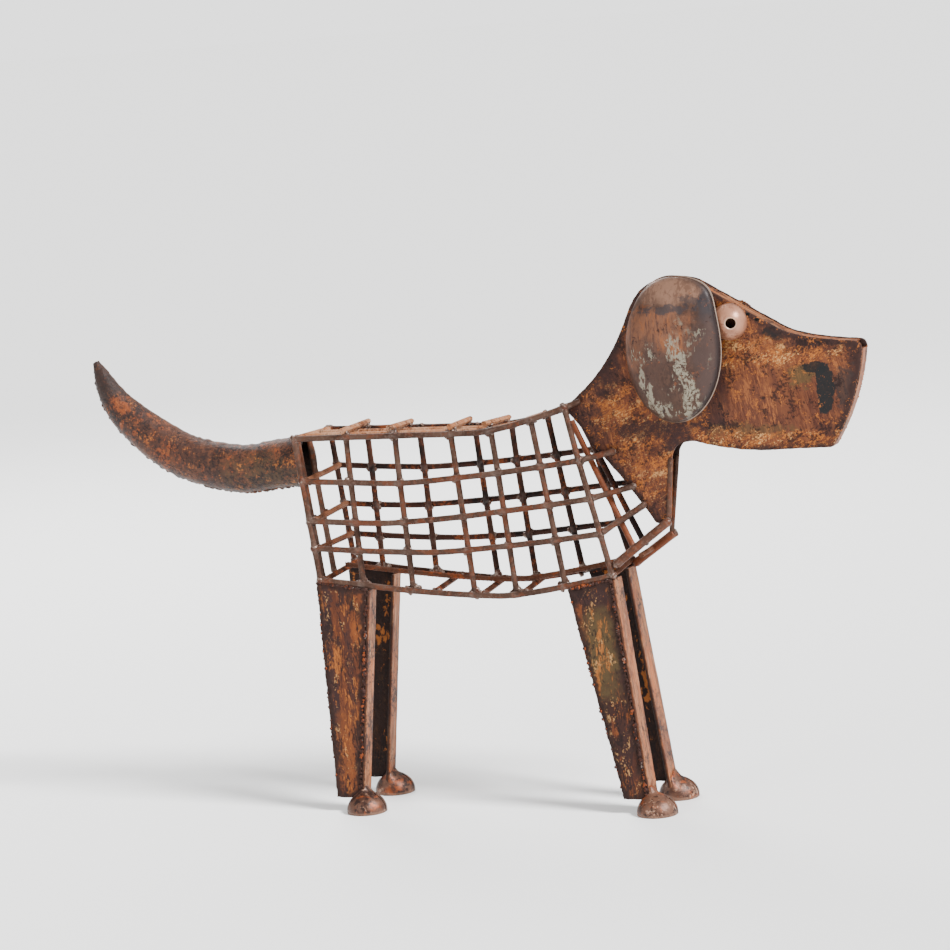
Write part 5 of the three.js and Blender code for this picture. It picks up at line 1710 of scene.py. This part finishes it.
def leg_plate_outline(leg, side):
    under = ROD / 2 + 2 * GAP
    front_z = bottom_rail(leg["top_front"], side) - under
    front = front_edge(leg, front_z, side) - FLAT_BAR - GAP
    points = [(leg["foot_rear"], ANKLE_Z), (leg["foot_front"] - FLAT_BAR - GAP, ANKLE_Z)]
    for x in np.linspace(front, leg["top_rear"], 7):
        points.append((x, bottom_rail(x, side) - under))
    return np.array(points)


def torn_rear(leg):
    """The rear edge and the foot of a leg were cut by hand and never ground."""
    def amounts(ring):
        share = (ring[:, 1] - ANKLE_Z) / 200
        rear = leg["foot_rear"] + (leg["top_rear"] - leg["foot_rear"]) * share
        return np.where(np.abs(ring[:, 0] - rear) < 4, 2.4, 1.0)
    return amounts


def each_leg():
    for kind, pair, left in LEGS:
        for hand, side in SIDES.items():
            yield f"{kind}_{{}}_{hand}", side, {**pair, **(left if side > 0 else {})}


for title, side, leg in each_leg():
    matrix = leg_placement(leg, side)
    outline = leg_plate_outline(leg, side)
    points, faces, rim, inner = plate_shell(outline, PLATE, 20 + side, side, torn_rear(leg), dents=0.6)
    plate = Shell()
    plate.add(placed(points, matrix), faces, rim=rim, inside=inner)
    crust, sizes = [], []
    for z in np.arange(ANKLE_Z + 6, bottom_rail(leg["top_front"], side) - 6, 1.7):
        if rng.random() < 0.75:
            x = front_edge(leg, z, side) - FLAT_BAR - rng.uniform(-0.3, 1.5)
            crust.append((x, side * rng.uniform(1.0, 1.9), z + rng.uniform(-0.6, 0.6)))
            sizes.append(rng.uniform(0.9, 2.2))
    for x in np.arange(leg["top_rear"] + 2, leg["top_front"] - 4, 1.7):
        crust.append((x, side * rng.uniform(-0.8, 0.8), bottom_rail(x, side) - 3.4))
        sizes.append(rng.uniform(1.5, 2.2))
    for share in np.sort(rng.uniform(0.03, 0.97, 34)):
        x = leg["foot_rear"] + (leg["top_rear"] - leg["foot_rear"]) * share + rng.uniform(0.8, 2.4)
        z = ANKLE_Z + (bottom_rail(leg["top_rear"], side) - 4 - ANKLE_Z) * share
        crust.append((x, side * rng.uniform(0.4, 1.4), z))
        sizes.append(rng.uniform(0.8, 1.7))
    crust = placed(np.array(crust), matrix)
    name = title.format("leg_plate")
    show(name, [plate.mesh(name, "leg"), beads(name, crust, sizes, "crust", seed=21 + side)])

    inner_y = side * (leg["hip_y"] - leg["bar"])
    top_z = min(bottom_rail(leg["top_front"], side), rail_z(4, leg["top_front"], inner_y))
    top_z -= RIBBED_BAR / 2 + 3 * GAP
    line = np.array([(front_edge(leg, z, side), z) for z in np.linspace(top_z, ANKLE_Z, 40)])
    bar = Shell()
    path, _ = strap_shell(bar, line, 0.0, FLAT_BAR, leg["bar"] / 2, seed=30 + side)
    offset = side * (PLATE / 2 - leg["bar"] / 2)
    bar.points = [placed(p + (0, offset, 0), matrix) for p in bar.points]
    name = title.format("leg_bar")
    show(name, [bar.mesh(name, "bar")])
print("legs done:", len(PIECES), "pieces so far")

# %% Feet
TOE_WIDTH, TOE_DEPTH, TOE_START = 1.8, 2.6, 8.0


def dome_height(r):
    return FOOT_LIP + (FOOT_HEIGHT - FOOT_LIP) * math.sqrt(max(0.0, 1 - (r / FOOT_RADIUS) ** 2))


def foot_shell(leg, side, sides=120, rings=22):
    """A dome from rings, with the weld that ties the leg's bar to its crown raised on it."""
    bar_y = side * (leg["ankle_y"] + PLATE / 2 - leg["bar"] / 2) - side * leg["foot_y"]
    bar_x = leg["foot_front"] - FLAT_BAR / 2 - leg["foot_x"]
    turn = [2 * math.pi * s / sides for s in range(sides)]
    rows = []
    for k in range(rings):
        climb = math.pi / 2 * k / rings
        r, z = FOOT_RADIUS * math.cos(climb), FOOT_LIP + (FOOT_HEIGHT - FOOT_LIP) * math.sin(climb)
        for s in range(sides):
            rows.append((r * math.cos(turn[s]), r * math.sin(turn[s]), z))
    rows.append((0, 0, FOOT_HEIGHT))
    rows = np.array(rows)
    across = np.clip(rows[:, 1], bar_y - leg["bar"] * 0.30, bar_y + leg["bar"] * 0.30)
    gap = np.hypot((rows[:, 0] - bar_x) * 0.9, rows[:, 1] - across)
    skirt = 1.6 * np.exp(-(gap / 9.0) ** 2) * np.clip(rows[:, 2] / 12, 0, 1)
    rows[:, 2] += 7.5 * np.exp(-(gap / 4.0) ** 2) + skirt
    rough = 0.25 * wave(rows, 8, 6 + side) + 0.15 * wave(rows, 3, 9)
    rows[:, 2] += rough * np.clip((rows[:, 2] - 3) / 6, 0, 1)
    base = [(FOOT_RADIUS * math.cos(a), FOOT_RADIUS * math.sin(a), 0) for a in turn]
    base_in = [(0.97 * x, 0.97 * y, 0) for x, y, _ in base]
    points = np.vstack([base_in, base, rows])
    points[sides:2 * sides, 2] = 0.3
    faces = ring_faces(rings + 2, sides)
    top = len(points) - 1
    faces += [[(rings + 1) * sides + s, (rings + 1) * sides + (s + 1) % sides, top] for s in range(sides)]
    faces.append(list(range(sides))[::-1])
    rim = np.zeros(len(points))
    rim[sides:3 * sides] = 1
    shell = Shell()
    shell.add(points + (leg["foot_x"], side * leg["foot_y"], 0), faces, rim=rim)
    return shell


def toe_cutter(leg, side):
    """A thin fin with the shape of the saw cut, its lower edge following the dome."""
    inner = [(r, dome_height(r * FOOT_RADIUS / (FOOT_RADIUS - TOE_DEPTH)) - TOE_DEPTH)
             for r in np.linspace(TOE_START, FOOT_RADIUS - TOE_DEPTH, 12)] + [(FOOT_RADIUS - TOE_DEPTH, -2)]
    outline = inner + [(FOOT_RADIUS + 6, -2), (FOOT_RADIUS + 6, FOOT_HEIGHT + 12),
                       (TOE_START, FOOT_HEIGHT + 12)]
    n = len(outline)
    points = [(x, y, z) for y in (-TOE_WIDTH / 2, TOE_WIDTH / 2) for x, z in outline]
    faces = [list(range(n)), list(range(n, 2 * n))[::-1]]
    faces += [[i, (i + 1) % n, n + (i + 1) % n, n + i] for i in range(n)]
    shell = Shell()
    # The fin's faces become the faces of the cut, noted for painted shade.
    shell.add(np.array(points) + (leg["foot_x"], side * leg["foot_y"], 0), faces, inside=1.0)
    return shell.mesh("toe_cut", "foot")


def cut_away(mesh, cutter):
    body, tool = bpy.data.objects.new("cut_body", mesh), bpy.data.objects.new("cut_tool", cutter)
    for thing in (body, tool):
        bpy.context.scene.collection.objects.link(thing)
    cut = body.modifiers.new("saw", "BOOLEAN")
    cut.operation, cut.object, cut.solver = "DIFFERENCE", tool, "EXACT"
    made = bpy.data.meshes.new_from_object(body.evaluated_get(bpy.context.evaluated_depsgraph_get()))
    bpy.data.objects.remove(body)
    bpy.data.objects.remove(tool)
    return made


for title, side, leg in each_leg():
    name = title.format("foot")
    show(name, [cut_away(foot_shell(leg, side).mesh(name, "foot"), toe_cutter(leg, side))])
print("pieces in all:", len(PIECES))

# %% Triangle count
total = sum(len(p.vertices) - 2 for piece in PIECES.values() for p in piece.data.polygons)
print("triangles:", total)
